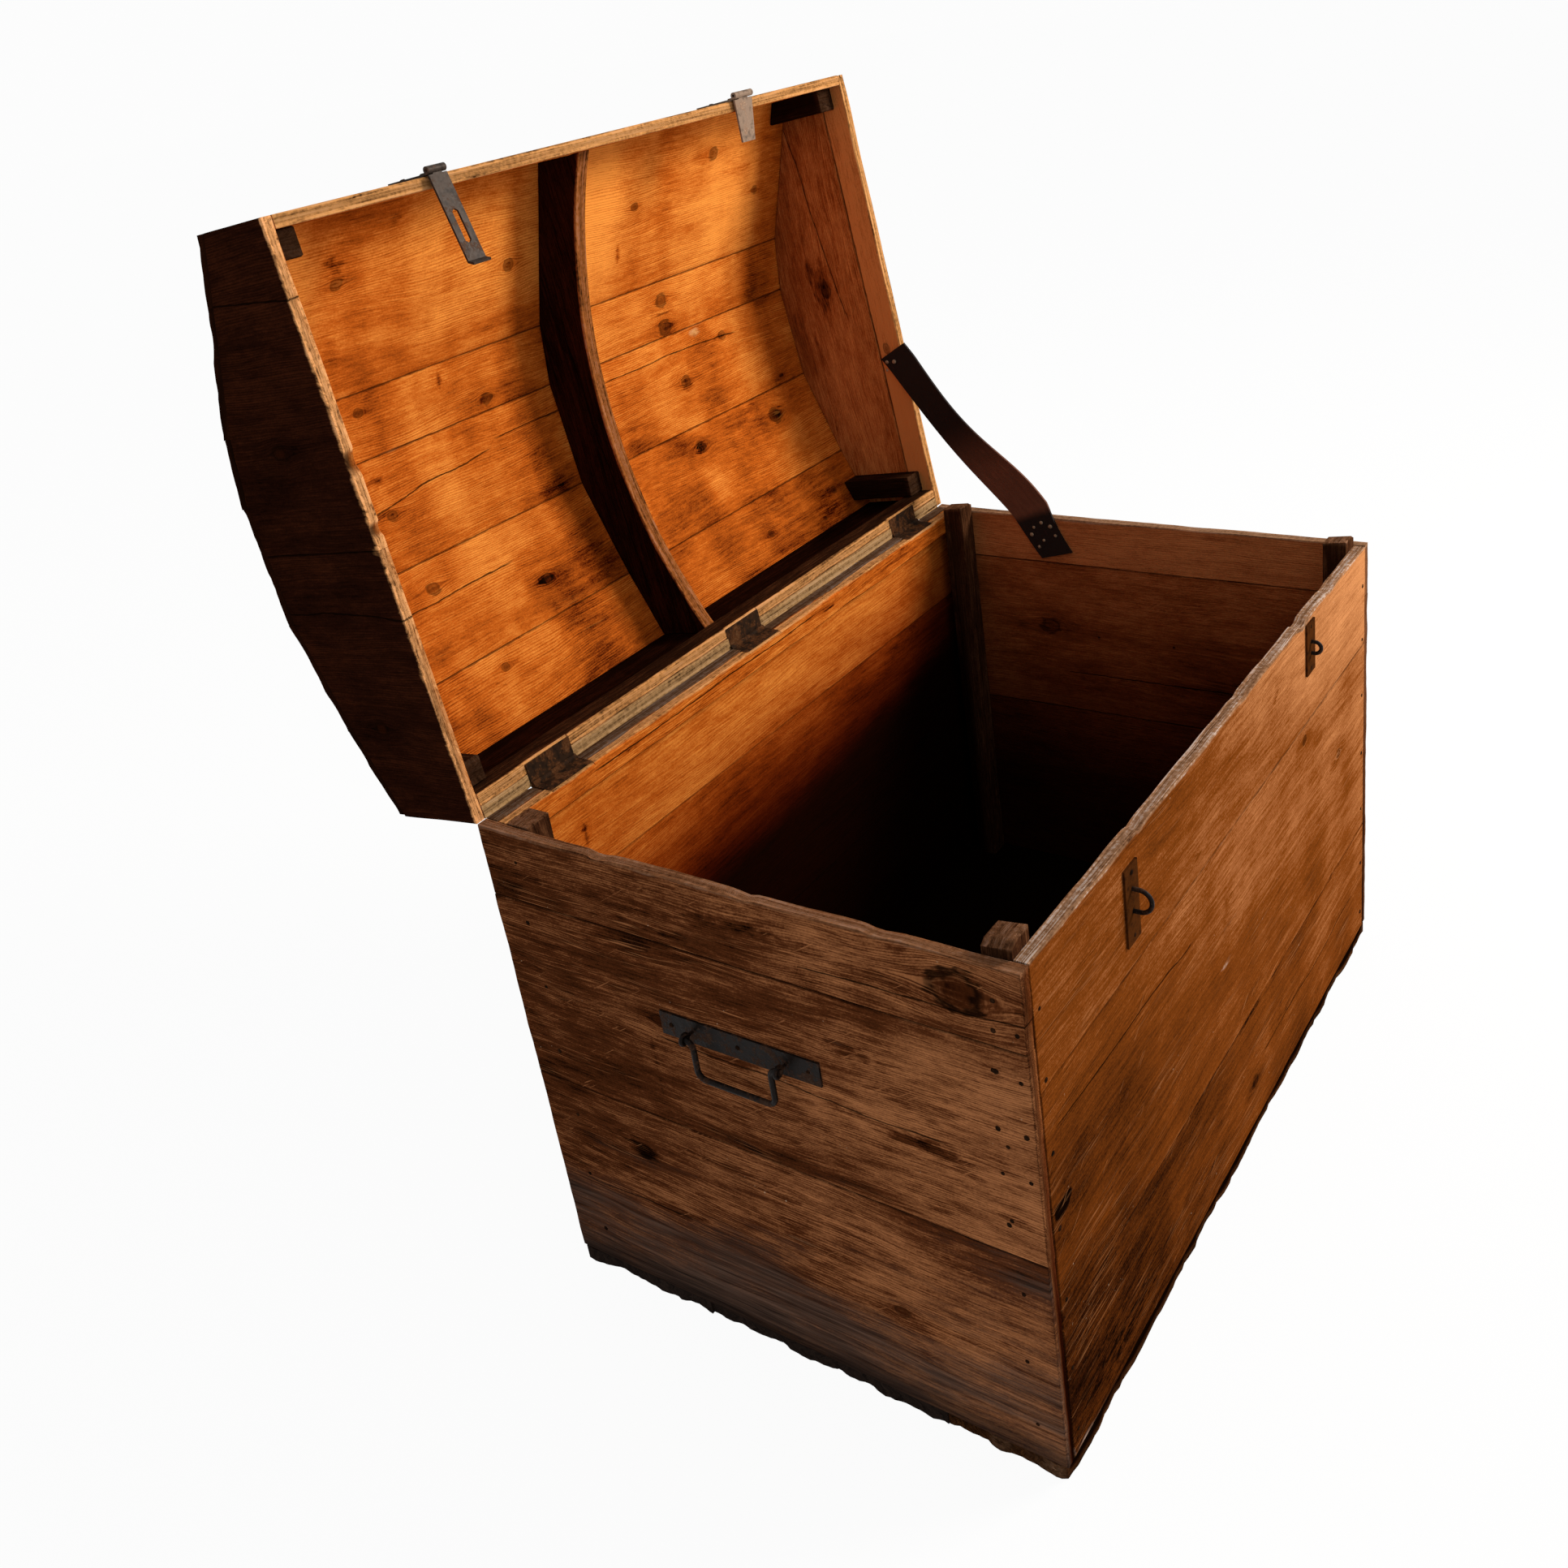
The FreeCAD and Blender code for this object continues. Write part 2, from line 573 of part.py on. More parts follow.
def slot(name, middle, turn):
    """The long round-ended slot that drops over the staple."""
    body = doc.addObject("PartDesign::Body", name + "_slot")
    pad = body.newObject("PartDesign::Pad", name + "_slot_pad")
    half = "slot_wide / 2"
    low = "-(staple_drop + lid_gap - hasp_drop + slot_low) - slot_long / 2"
    high = "-(staple_drop + lid_gap - hasp_drop + slot_low) + slot_long / 2"
    pad.Profile = outline(body, "XZ_Plane", [
        ("-" + half, low + " + 3"), ("-1", low), ("1", low), (half, low + " + 3"),
        (half, high + " - 3"), ("1", high), ("-1", high), ("-" + half, high + " - 3")])
    pad.setExpression("Length", named("hasp_thick * 4"))
    return place(body, middle, "%s + hasp_thick * 2 * cos(%s)" % (HASP_Y, turn),
                 "%s + hasp_thick * 2 * sin(%s)" % (HASP_Z, turn), turn)


def lip(name, middle, tip, long, turn):
    """The turned-up end of the strap, bent towards the front with a mitre."""
    miter = "hasp_thick * tan(lip_angle * 0.5 deg)"
    half = "hasp_thick / 2"
    along_y = "sin(lip_angle * 1 deg)"
    along_z = "cos(lip_angle * 1 deg)"
    root = "2 - %s" % long
    points = [
        ("-" + half, root),
        ("-" + half, "-" + long),
        ("-%s - lip_long * %s" % (half, along_y), "-%s - lip_long * %s" % (long, along_z)),
        ("%s - (lip_long + %s) * %s" % (half, miter, along_y),
         "-%s - %s - (lip_long + %s) * %s" % (long, miter, miter, along_z)),
        (half, "-%s - %s" % (long, miter)),
        (half, root)]
    piece = plate(name + "_lip", "YZ_Plane", points, tip)
    return place(piece, "%s - %s / 2" % (middle, tip), HASP_Y, HASP_Z, turn)


def hasp_pins():
    """One pin through each hasp's knuckles."""
    pins = []
    for side, at, wide in (("left", "hasp_left_at", "hasp_wide"),
                           ("right", "hasp_right_at", "short_wide")):
        pins.append(rod("hasp_pin_" + side, "hasp_pin", wide,
                        "%s + %s - %s / 2" % (LEFT, at, wide), HASP_Y, HASP_Z, (1, 0, 0)))
    group("hasp_pins", pins)


def staple(side, at, drop, bend, leg, plate_top, plate_high):
    """A plate on the front with a D-shaped staple driven through it."""
    top = "%s - %s" % (RIM, plate_top)
    node(box("staple_plate_" + side, "%s + %s - staple_plate_wide / 2" % (LEFT, at),
             FRONT + " - iron_plate", "%s - %s" % (top, plate_high), "staple_plate_wide",
             "iron_plate", plate_high), "staple_plate_" + side)
    x = "%s + %s" % (LEFT, at)
    y = "%s - iron_plate - %s" % (FRONT, leg)
    z = "%s - %s" % (RIM, drop)
    name = "staple_" + side
    ring = doc.addObject("Part::Torus", name + "_ring")
    ring.setExpression("Radius1", named(bend))
    ring.setExpression("Radius2", named("staple_rod"))
    ring.Angle3 = 180
    ring.Placement.Rotation = (FreeCAD.Rotation(V(0, 1, 0), 90)
                               * FreeCAD.Rotation(V(0, 0, 1), 180))
    place(ring, x, y, z)
    legs = [rod("%s_leg_%s" % (name, end), "staple_rod", "%s + iron_plate + board" % leg, x, y,
                "%s %s (%s)" % (z, sign, bend), (0, 1, 0))
            for end, sign in (("top", "+"), ("low", "-"))]
    node(fuse(name, [ring] + legs), "hasp_" + name)


# ---------------------------------------------------------------- handles

HANDLE_Y = "(depth / 2 - handle_back)"
HANDLE_Z = "(bottom_board + side_high - handle_drop)"


def bail(side, sign):
    """The bent rod: stubs through the eyes, two legs and a grip, with round bends."""
    half = num("bail_half")
    drop = num("bail_drop")
    bend = num("bail_bend")
    stub = num("bail_stub")
    radius = num("bail_rod")
    corners = [V(0, -half - stub, 0), V(0, -half, 0), V(0, -half, -drop), V(0, half, -drop),
               V(0, half, 0), V(0, half + stub, 0)]
    edges = []
    start = corners[0]
    for before, corner, after in zip(corners, corners[1:], corners[2:]):
        size = min(bend, 0.6 * (corner - before).Length)
        inward = (before - corner).normalize() * size
        onward = (after - corner).normalize() * size
        centre = corner + inward + onward
        middle = centre + (corner - centre).normalize() * size
        edges.append(Part.LineSegment(start, corner + inward).toShape())
        edges.append(Part.Arc(corner + inward, middle, corner + onward).toShape())
        start = corner + onward
    edges.append(Part.LineSegment(start, corners[-1]).toShape())
    path = Part.Wire(edges)
    ring = Part.Wire(Part.Circle(corners[0], V(0, 1, 0), radius).toShape())
    piece = doc.addObject("Part::Feature", "bail_" + side)
    piece.Shape = path.makePipeShell([ring], True, False)
    place(piece, "%s (width / 2 + eye_out)" % sign, HANDLE_Y, HANDLE_Z)
    node(piece, "handle_bail_" + side)


def handle_plate(side, sign):
    """The iron plate behind a bail."""
    x = LEFT + " - iron_plate" if sign == "-" else RIGHT
    node(box("handle_plate_" + side, x, HANDLE_Y + " - handle_plate_long / 2",
             HANDLE_Z + " - handle_plate_high / 2", "iron_plate", "handle_plate_long",
             "handle_plate_high"), "handle_plate_" + side)


def handle_eyes():
    """Ring eyes on short stems that hold both bails."""
    eyes = []
    ring_radius = "bail_rod + eye_clear + eye_rod"
    for side, sign in (("left", "-"), ("right", "+")):
        direction = (1, 0, 0) if sign == "-" else (-1, 0, 0)
        for end, way in (("back", "+"), ("front", "-")):
            y = "%s %s (bail_half + bail_stub - eye_rod - 1.5)" % (HANDLE_Y, way)
            x = "%s (width / 2 + eye_out)" % sign
            name = "eye_%s_%s" % (side, end)
            ring = doc.addObject("Part::Torus", name + "_ring")
            ring.setExpression("Radius1", named(ring_radius))
            ring.setExpression("Radius2", named("eye_rod"))
            ring.Placement.Rotation = FreeCAD.Rotation(V(1, 0, 0), 90)
            place(ring, x, y, HANDLE_Z)
            inward = "%s (width / 2 + eye_out - (%s))" % (sign, ring_radius)
            stem = rod(name + "_stem", "eye_stem", "eye_out - (%s) + board" % ring_radius, inward,
                       y, HANDLE_Z, direction)
            eyes.append(fuse(name, [ring, stem]))
    group("handle_eyes", eyes)


# ---------------------------------------------------------------- leather stay

STRAP_X = "(width / 2 - board - strap_clear - strap_thick)"
STRAP = [("strap_top_back", "strap_top_high"), ("strap_side_back", "strap_side_high"),
         ("strap_foot_front", "strap_foot_low"), ("strap_foot_back", "strap_foot_end")]
FOOT = ("strap_foot_back", "strap_foot_end")
TOP = ("strap_top_back", "strap_top_high")
CHEST_TACKS = [(FOOT, 4, 68), (FOOT, -11, 58), (FOOT, 21, 62), (FOOT, -16, 44), (FOOT, 30, 46),
               (FOOT, 7, 35), (FOOT, -3, 22)]
LID_TACKS = [(TOP, 12, -5), (TOP, 10, -20), (TOP, 27, -4)]


def strap():
    """The leather stay from the lid's right end to the chest's right end."""
    points = [("-(%s)" % back, high) for back, high in STRAP]
    piece = plate("stay", "YZ_Plane", points, "strap_thick")
    place(piece, STRAP_X, BACK, RIM)
    holes = [tack_hole("stay_hole_%d" % number, spot)
             for number, spot in enumerate(CHEST_TACKS + LID_TACKS)]
    node(cut("stay_holed", piece, holes), "lid_stay_strap")


def tack_place(spot):
    """Y and Z of a tack, given as forward and up from a corner of the strap."""
    (back, high), forward, up = spot
    return "%s - (%s + %d)" % (BACK, back, forward), "%s + (%s + %d)" % (RIM, high, up)


def tack_hole(name, spot):
    """A hole in the strap for one tack."""
    y, z = tack_place(spot)
    return rod(name, "tack_shank + 0.3", "strap_thick + 2", STRAP_X + " - 1", y, z, (1, 0, 0))


def tacks(name, spots):
    """Domed tacks through the strap into the end boards."""
    made = []
    for number, spot in enumerate(spots):
        y, z = tack_place(spot)
        head = doc.addObject("Part::Cone", "%s_head_%d" % (name, number))
        head.setExpression("Radius1", named("tack_head"))
        head.setExpression("Radius2", named("tack_head / 2"))
        head.setExpression("Height", named("tack_head / 2"))
        head.Placement.Rotation = FreeCAD.Rotation(V(0, 0, 1), V(-1, 0, 0))
        place(head, STRAP_X + " - 0.3", y, z)
        shank = rod("%s_shank_%d" % (name, number), "tack_shank", "tack_long",
                    STRAP_X + " - 0.6", y, z, (1, 0, 0))
        made.append(fuse("%s_%d" % (name, number), [head, shank]))
    group(name, made)


# ---------------------------------------------------------------- nails

def nail(name, x, y, z, axis, long="nail_long"):
    """A nail whose head stands a little proud of the wood, driven along an axis."""
    out = [" - (%d) * nail_proud" % step for step in axis]
    head = rod(name + "_head", "nail_head", "nail_proud * 1.5", x + out[0], y + out[1],
               z + out[2], axis)
    shank = rod(name + "_shank", "nail_shank", long, x, y, z, axis)
    return fuse(name, [head, shank])


def carcass_nails():
    """Nails through the end boards into the posts and boards, in pairs down each corner."""
    made = []
    levels = ("0.06", "0.19", "0.33", "0.48", "0.63", "0.78", "0.92")
    for side, x, axis in (("left", LEFT, (1, 0, 0)), ("right", RIGHT, (-1, 0, 0))):
        for level, share in enumerate(levels):
            z = "%s - side_high * %s" % (RIM, share)
            stagger = "2" if level % 2 else "-3"
            for row, y in (("front", "%s + board + 20 + %s" % (FRONT, stagger)),
                           ("back", "%s - board - batten_thick - 18 + %s" % (BACK, stagger))):
                made.append(nail("nail_%s_%s_%d" % (side, row, level), x, y, z, axis))
    for level, share in enumerate(levels):
        z = "%s - side_high * (%s + 0.03)" % (RIM, share)
        for row, x in (("left", LEFT + " + board + 14"), ("right", RIGHT + " - board - 14")):
            made.append(nail("nail_face_%s_%d" % (row, level), x, FRONT, z, (0, 1, 0)))
    group("carcass_nails", made)


def handle_nails():
    """Three nails in each handle plate and four in each staple plate's corners."""
    made = []
    for side, sign, axis in (("left", "-", (1, 0, 0)), ("right", "+", (-1, 0, 0))):
        x = "%s (width / 2 + iron_plate)" % sign
        for number, offset in enumerate(("-0.43", "0", "0.43")):
            y = "%s + handle_plate_long * (%s)" % (HANDLE_Y, offset)
            made.append(nail("nail_plate_%s_%d" % (side, number), x, y, HANDLE_Z, axis,
                             "plate_nail_long"))
    for side, at, top, high in (
            ("left", "hasp_left_at", "staple_plate_top", "staple_plate_high"),
            ("right", "hasp_right_at", "small_plate_top", "small_plate_high")):
        for number, share in enumerate(("0.09", "0.91")):
            z = "%s - %s - %s * %s" % (RIM, top, high, share)
            made.append(nail("nail_staple_%s_%d" % (side, number), "%s + %s" % (LEFT, at),
                             FRONT + " - iron_plate", z, (0, 1, 0), "plate_nail_long"))
    group("plate_nails", made)


def lid_nails():
    """Nails through the top boards into the ends, and rivets in the hasp plates."""
    made = []
    angle = math.radians(num("open_angle"))
    down = (0, -math.sin(angle), -math.cos(angle))
    inward = (0, math.cos(angle), -math.sin(angle))
    for number, ((a, high_a), (b, high_b)) in enumerate(zip(DOME, DOME[1:])):
        back = "(%s + %s) / 2" % (a, b)
        high = "(%s + %s) / 2 + 0.8" % (high_a, high_b)
        for side, x in (("left", LEFT + " + lid_board / 2"), ("right", RIGHT + " - lid_board / 2"),
                        ("rib", LEFT + " + rib_left + rib_thick / 2")):
            head = rod("lid_nail_%s_%d_head" % (side, number), "nail_head", "nail_proud * 2", x,
                       lid_y(back, high), lid_z(back, high), down)
            shank = rod("lid_nail_%s_%d_shank" % (side, number), "nail_shank", "nail_long", x,
                        lid_y(back, high), lid_z(back, high), down)
            made.append(fuse("lid_nail_%s_%d" % (side, number), [head, shank]))
    for side, at in (("left", "hasp_left_at"), ("right", "hasp_right_at")):
        for number, share in enumerate(("0.3", "0.85")):
            high = "hasp_plate_high * %s" % share
            back = "depth + hasp_thick + nail_proud"
            head = rod("rivet_%s_%d_head" % (side, number), "nail_head", "nail_proud * 1.5",
                       "%s + %s" % (LEFT, at), lid_y(back, high), lid_z(back, high), inward)
            shank = rod("rivet_%s_%d_shank" % (side, number), "nail_shank", "lid_board",
                        "%s + %s" % (LEFT, at), lid_y(back, high), lid_z(back, high), inward)
            made.append(fuse("rivet_%s_%d" % (side, number), [head, shank]))
    group("lid_nails", made)


walls()
bottom()
posts()
chest_batten()
lid_boards()
lid_ends()
lid_frame()
hinges()
for side, at, wide in (("left", "hasp_left_at", "hasp_wide"),
                       ("right", "hasp_right_at", "short_wide")):
    hasp_plate(side, at, wide)
hasp_strap("left", "hasp_left_at", "hasp_wide", "hasp_wide", "hasp_long", "hasp_swing", True)
hasp_strap("right", "hasp_right_at", "short_wide", "short_tip", "short_long", "0", False)
hasp_pins()
staple("left", "hasp_left_at", "staple_drop", "staple_round", "staple_leg", "staple_plate_top",
       "staple_plate_high")
staple("right", "hasp_right_at", "small_drop", "small_round", "small_leg", "small_plate_top",
       "small_plate_high")
for side, sign in (("left", "-"), ("right", "+")):
    bail(side, sign)
    handle_plate(side, sign)
handle_eyes()
strap()
tacks("stay_tacks_chest", CHEST_TACKS)
tacks("stay_tacks_lid", LID_TACKS)
carcass_nails()
handle_nails()
lid_nails()

doc.recompute()
for item in doc.Objects:
    if "Invalid" in item.State or "Error" in item.State:
        raise RuntimeError("%s failed: %s" % (item.Name, item.State))
os.makedirs("parts", exist_ok=True)
for item in NODES:
    if item.Shape.isNull() or not item.Shape.isValid():
        raise RuntimeError(item.Label + " has no valid shape")
    item.Shape.exportStep("parts/%s.step" % item.Label)
print(len(NODES), "nodes")
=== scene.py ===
# %% [markdown]
# # A grain ark chest in Blender
# The real thing is a large pine chest with a low domed lid, nailed up from wide boards about two
# centimetres thick, with forged iron handles, hasps and hinges and a leather strap that stops the
# lid. The measured frame gives every piece its place and its joints. This lesson dresses that frame
# with worn boards, rusty iron and leather, one step at a time.

# %% Load the frame
import json
import math

import bpy
import bmesh
import numpy as np
from mathutils import Matrix


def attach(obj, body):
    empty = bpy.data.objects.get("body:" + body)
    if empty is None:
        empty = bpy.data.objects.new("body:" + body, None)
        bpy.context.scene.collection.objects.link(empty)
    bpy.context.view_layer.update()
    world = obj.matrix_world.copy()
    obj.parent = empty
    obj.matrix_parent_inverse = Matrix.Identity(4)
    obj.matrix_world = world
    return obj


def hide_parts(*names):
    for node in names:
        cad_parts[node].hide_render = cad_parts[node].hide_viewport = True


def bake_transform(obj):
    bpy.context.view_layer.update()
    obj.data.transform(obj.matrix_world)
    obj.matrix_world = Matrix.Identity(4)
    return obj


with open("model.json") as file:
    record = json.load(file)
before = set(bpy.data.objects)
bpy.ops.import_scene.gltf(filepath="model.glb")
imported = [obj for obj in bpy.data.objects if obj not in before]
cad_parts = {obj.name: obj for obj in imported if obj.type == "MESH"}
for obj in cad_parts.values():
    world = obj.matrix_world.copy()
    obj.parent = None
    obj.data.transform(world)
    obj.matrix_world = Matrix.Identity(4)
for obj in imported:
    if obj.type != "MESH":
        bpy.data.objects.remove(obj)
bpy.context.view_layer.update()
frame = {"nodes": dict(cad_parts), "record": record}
print("frame loaded with", len(frame["nodes"]), "nodes")

# %% [markdown]
# ## Two sets of directions
# A chest maker measures from the left end, from the back and from the rim, so this lesson does too.
# The lid is made shut, in the same three directions, and one function turns each of its points
# about the hinge pin to where the open lid stands. Every mesh is then already in its place, and its
# object stays at the origin.

# %% Sizes and places, in millimetres
WIDE = 1200.0
DEEP = 768.0
RIM = 734.0
BOARD = 18.0
BOTTOM_BOARD = 26.0
WALL_HIGH = RIM - BOTTOM_BOARD
POST_WIDE = 40.0
POST_DEEP = 36.0
LID_BOARD = 16.0
TOP_BOARD = 17.0
PIN_BACK = 0.5
PIN_HIGH = 0.75
OPEN = math.radians(97.7)
# The top boards' seams from the back, and the dome's height above the lid's rim at each of them.
DOME_BACK = [0.0, 121.0, 275.0, 435.0, 526.0, 768.0]
DOME_HIGH = [158.0, 201.0, 243.0, 248.0, 231.0, 130.0]


def chest_spot(x, back, high):
    """Millimetres from the left end, from the back and above the rim, as a place in metres."""
    x, back, high = np.broadcast_arrays(x, back, high)
    return np.stack([x - WIDE / 2, DEEP / 2 - back, RIM + high], axis=-1) * 0.001


def lid_spot(x, back, high):
    """The same for a point of the shut lid, turned about the pin to the open lid."""
    x, back, high = np.broadcast_arrays(x, back, high)
    y = -back - PIN_BACK
    z = high + PIN_HIGH
    open_y = DEEP / 2 + PIN_BACK + y * math.cos(OPEN) + z * math.sin(OPEN)
    open_z = RIM + PIN_HIGH - y * math.sin(OPEN) + z * math.cos(OPEN)
    return np.stack([x - WIDE / 2, open_y, open_z], axis=-1) * 0.001


def dome(back):
    """Height of the lid's outer face above its rim."""
    return np.interp(back, DOME_BACK, DOME_HIGH)


def under(back):
    """Height of the lid's inner face."""
    return dome(back) - TOP_BOARD


print("hinge pin at", chest_spot(WIDE / 2, -PIN_BACK, PIN_HIGH))

# %% [markdown]
# ## Boards
# An old board is never a clean block. Its edges are rubbed round, its ends are ragged and bits have
# split off along the rim. Sculpting forty boards by hand would take days, so one function lays a
# grid over both faces of a board and shapes its outline with smooth random waves. The grid also
# carries what the finish needs: how far each point lies along and across the grain, which knot is
# nearest, how near the edge is, and where stains and cracks run.

# %% Smooth random waves
def waves(at, period, seed):
    """A smooth random curve between -1 and 1 along `at`, with features about a period wide."""
    at = np.asarray(at, float) / period
    low = np.floor(at).astype(int)
    part = at - low
    part = part * part * (3 - 2 * part)

    def step(number):
        return np.modf(np.abs(np.sin(number * 12.9898 + seed * 78.233)) * 43758.5453)[0] * 2 - 1

    return step(low) * (1 - part) + step(low + 1) * part


def rough(at, size, period, seed):
    """Waves of three sizes, as a loss between 0 and `size`."""
    total = waves(at, period, seed) + 0.5 * waves(at, period / 2.7, seed + 1)
    total = total + 0.25 * waves(at, period / 7.0, seed + 2)
    return size * np.clip(0.5 + 0.4 * total, 0, 1)


def bites(at, spots):
    """Losses where pieces broke off: (place, half width, depth) for each."""
    loss = np.zeros_like(np.asarray(at, float))
    for place, half, depth in spots:
        fall = np.clip(1 - np.abs(at - place) / half, 0, 1)
        loss = np.maximum(loss, depth * np.minimum(1, fall * 2.2))
    return loss


def straight(value, seed, loss, period=90.0, more=()):
    """An edge curve at a value, worn back by up to a loss. A negative loss wears upwards."""
    def curve(at):
        return value - np.sign(loss) * (rough(at, abs(loss), period, seed) + bites(at, more))
    return curve


# %% A grid for one board
def edges_of(low, high, cell, extra=()):
    """Grid lines from low to high, with any extra ones, no wider apart than a cell."""
    count = max(2, int(math.ceil((high - low) / cell)))
    lines = list(np.linspace(low, high, count + 1))
    lines += [line for line in extra if low < line < high]
    return np.array(sorted(set(np.round(lines, 3))))


def board_outline(grain, cross, cell, ends, sides, extra):
    """Positions along and across the grain for a grid whose four edges may be curves."""
    along = edges_of(grain[0], grain[1], cell * 1.6, extra)
    s = (along - grain[0]) / (grain[1] - grain[0])
    t = np.linspace(0, 1, max(3, int(math.ceil((cross[1] - cross[0]) / cell)) + 1))
    s, t = np.meshgrid(s, t, indexing="ij")
    nominal = cross[0] + t * (cross[1] - cross[0])
    first, last = ends
    u = first(nominal) + s * (last(nominal) - first(nominal))
    left, right = sides
    v = left(u) + t * (right(u) - left(u))
    return u, v


# %% [markdown]
# The nearest knot is stored as the step to its middle, counted in its own radii, because those
# numbers run straight between grid points and the finish can then draw a crisp round knot from a
# coarse grid.

# %% What a board's finish needs to know
def nearest_knot(u, v, knots):
    """Step to the nearest knot in its radii, the knot's radius in metres, and 1 near it."""
    first = np.full(u.shape, 6.0)
    second = np.full(u.shape, 9.0)
    out = np.zeros(u.shape + (3,))
    out[..., :2] = 6.0
    for at_u, at_v, radius in knots:
        x = (u - at_u) / (radius * 1.25)
        y = (v - at_v) / radius
        far = np.hypot(x, y)
        nearer = far < first
        second = np.where(nearer, first, np.minimum(second, far))
        first = np.where(nearer, far, first)
        for part, value in enumerate((x, y, radius * 0.001)):
            out[..., part] = np.where(nearer, value, out[..., part])
    near = np.minimum(np.clip((5.0 - first) / 1.5, 0, 1), np.clip(second - first, 0, 1))
    return out, near


def blots(u, v, spots):
    """Soft marks: (along, across, half length, half width, strength) for each."""
    total = np.zeros(u.shape)
    for at_u, at_v, long, wide, strength in spots:
        far = ((u - at_u) / long) ** 2 + ((v - at_v) / wide) ** 2
        total = total + strength * np.exp(-far)
    return total


def nearest_crack(u, v, cracks):
    """Step across the grain to the nearest crack, and 1 near it or 0 elsewhere.

    Each crack is (from, to, across, slope, waviness).
    """
    first = np.full(u.shape, 30.0)
    second = np.full(u.shape, 60.0)
    gap, near = np.full(u.shape, 30.0), np.zeros(u.shape)
    for number, (start, stop, across, slope, wavy) in enumerate(cracks):
        step = v - across - slope * (u - start) - wavy * waves(u, 70.0, across + number)
        beyond = np.maximum(0, np.maximum(start - u, u - stop))
        far = np.abs(step) + beyond
        nearer = far < first
        second = np.where(nearer, first, np.minimum(second, far))
        first = np.where(nearer, far, first)
        gap = np.where(nearer, step, gap)
        near = np.where(nearer, np.clip(1.2 - beyond / 20.0, 0, 1), near)
    near = near * np.clip((26 - first) / 8, 0, 1) * np.clip((second - first) / 6, 0, 1)
    return gap, near


# %% Points and faces
def rim_places(count_u, count_v):
    """Places on a grid once round its rim, as two rows of numbers."""
    loop = [(i, 0) for i in range(count_u)]
    loop += [(count_u - 1, j) for j in range(1, count_v)]
    loop += [(i, count_v - 1) for i in range(count_u - 2, -1, -1)]
    loop += [(0, j) for j in range(count_v - 2, 0, -1)]
    return tuple(np.array(loop).T)


def quads(*corners):
    """Faces from four rows of point numbers."""
    return [tuple(map(int, face)) for face in zip(*corners)]


def grid_faces(number):
    """Faces of a grid, and of its copy on the far side whose numbers follow on."""
    a, b = number[:-1, :-1].ravel(), number[1:, :-1].ravel()
    c, d = number[1:, 1:].ravel(), number[:-1, 1:].ravel()
    return quads(a, d, c, b) + quads(*(corner + number.size for corner in (a, b, c, d)))


def ring_faces(here, there):
    """A band of faces between two closed rows of point numbers."""
    return quads(here, np.roll(here, -1), np.roll(there, -1), there)


# %% From points to an object
def new_mesh(name, places, faces):
    """A mesh from its points in metres and its faces."""
    mesh = bpy.data.meshes.new(name)
    mesh.from_pydata([tuple(place) for place in places], [], faces)
    return mesh


def store(mesh, name, values):
    """Keeps three numbers for each point of a mesh under a name."""
    layer = mesh.attributes.new(name, "FLOAT_VECTOR", "POINT")
    layer.data.foreach_set("vector", np.asarray(values, np.float32).ravel())


def finish_mesh(mesh, material, angle=35):
    """Turns the faces outwards, smooths all but the sharp edges and adds the material."""
    work = bmesh.new()
    work.from_mesh(mesh)
    bmesh.ops.recalc_face_normals(work, faces=work.faces)
    work.to_mesh(mesh)
    work.free()
    mesh.shade_smooth()
    mesh.set_sharp_from_angle(angle=math.radians(angle))
    mesh.materials.append(material)


def add(name, data):
    """Puts a new object into the scene."""
    thing = bpy.data.objects.new(name, data)
    bpy.context.scene.collection.objects.link(thing)
    return thing


# %% Parts of a board's making
WEAR = 1.4
ROUND_EDGE = 2.2
RUBBED_DEPTH = 3.5
EDGE_SEEN = 60.0


def unworn(u, v):
    """How far the two faces of a flat board are worn in."""
    return np.zeros_like(u), np.zeros_like(v)


def rounded(u, v, seed, round_edge):
    """Moves a face's outermost points in, and tells how wide the rounding is at each point."""
    rounding = round_edge * (0.6 + 0.4 * waves(u + v, 60, seed + 11))
    face_u, face_v = u.copy(), v.copy()
    face_u[0, :] += rounding[0, :]
    face_u[-1, :] -= rounding[-1, :]
    face_v[:, 0] += rounding[:, 0]
    face_v[:, -1] -= rounding[:, -1]
    return face_u, face_v, rounding


def outer_rim(rim, shape, outer_ends, outer_sides):
    """True where the rim takes the colours of the outer face."""
    rim_i, rim_j = rim
    outer = (rim_i % (shape[0] - 1) == 0) & outer_ends
    outer |= (rim_j == 0) & outer_sides[0]
    outer |= (rim_j == shape[1] - 1) & outer_sides[1]
    return outer


def rubbed_amount(steps_in, rubbed):
    """How bare each point is, from its steps in from the four edges."""
    return sum(part * np.exp(-(np.maximum(step, 0) / RUBBED_DEPTH) ** 2)
               for part, step in zip(rubbed, steps_in))


def keep_marks(mesh, u, v, side, worn, outer_ends, knots=(), dark=(), pale=(), cracks=(),
               soft=(), tone=0.0):
    """Stores all marks of a board, and tells how near each point is to a knot.

    tone lightens the inner face most, and worn adds to the pale marks.
    """
    knot, near_knot = nearest_knot(u, v, knots)
    gap, near_crack = nearest_crack(u, v, cracks)
    bare = blots(u, v, pale) * (1 - side * outer_ends) + worn
    lighter = tone * (1 - 0.7 * side)
    store(mesh, "knot", knot)
    # The soft marks go into the third number here. Some are painted shade and painted light.
    store(mesh, "crack", np.stack([gap, near_crack, blots(u, v, soft)], axis=1))
    store(mesh, "marks", np.stack([blots(u, v, dark), bare, lighter], axis=1))
    return near_knot


# %% Build one board
BOARDS = []


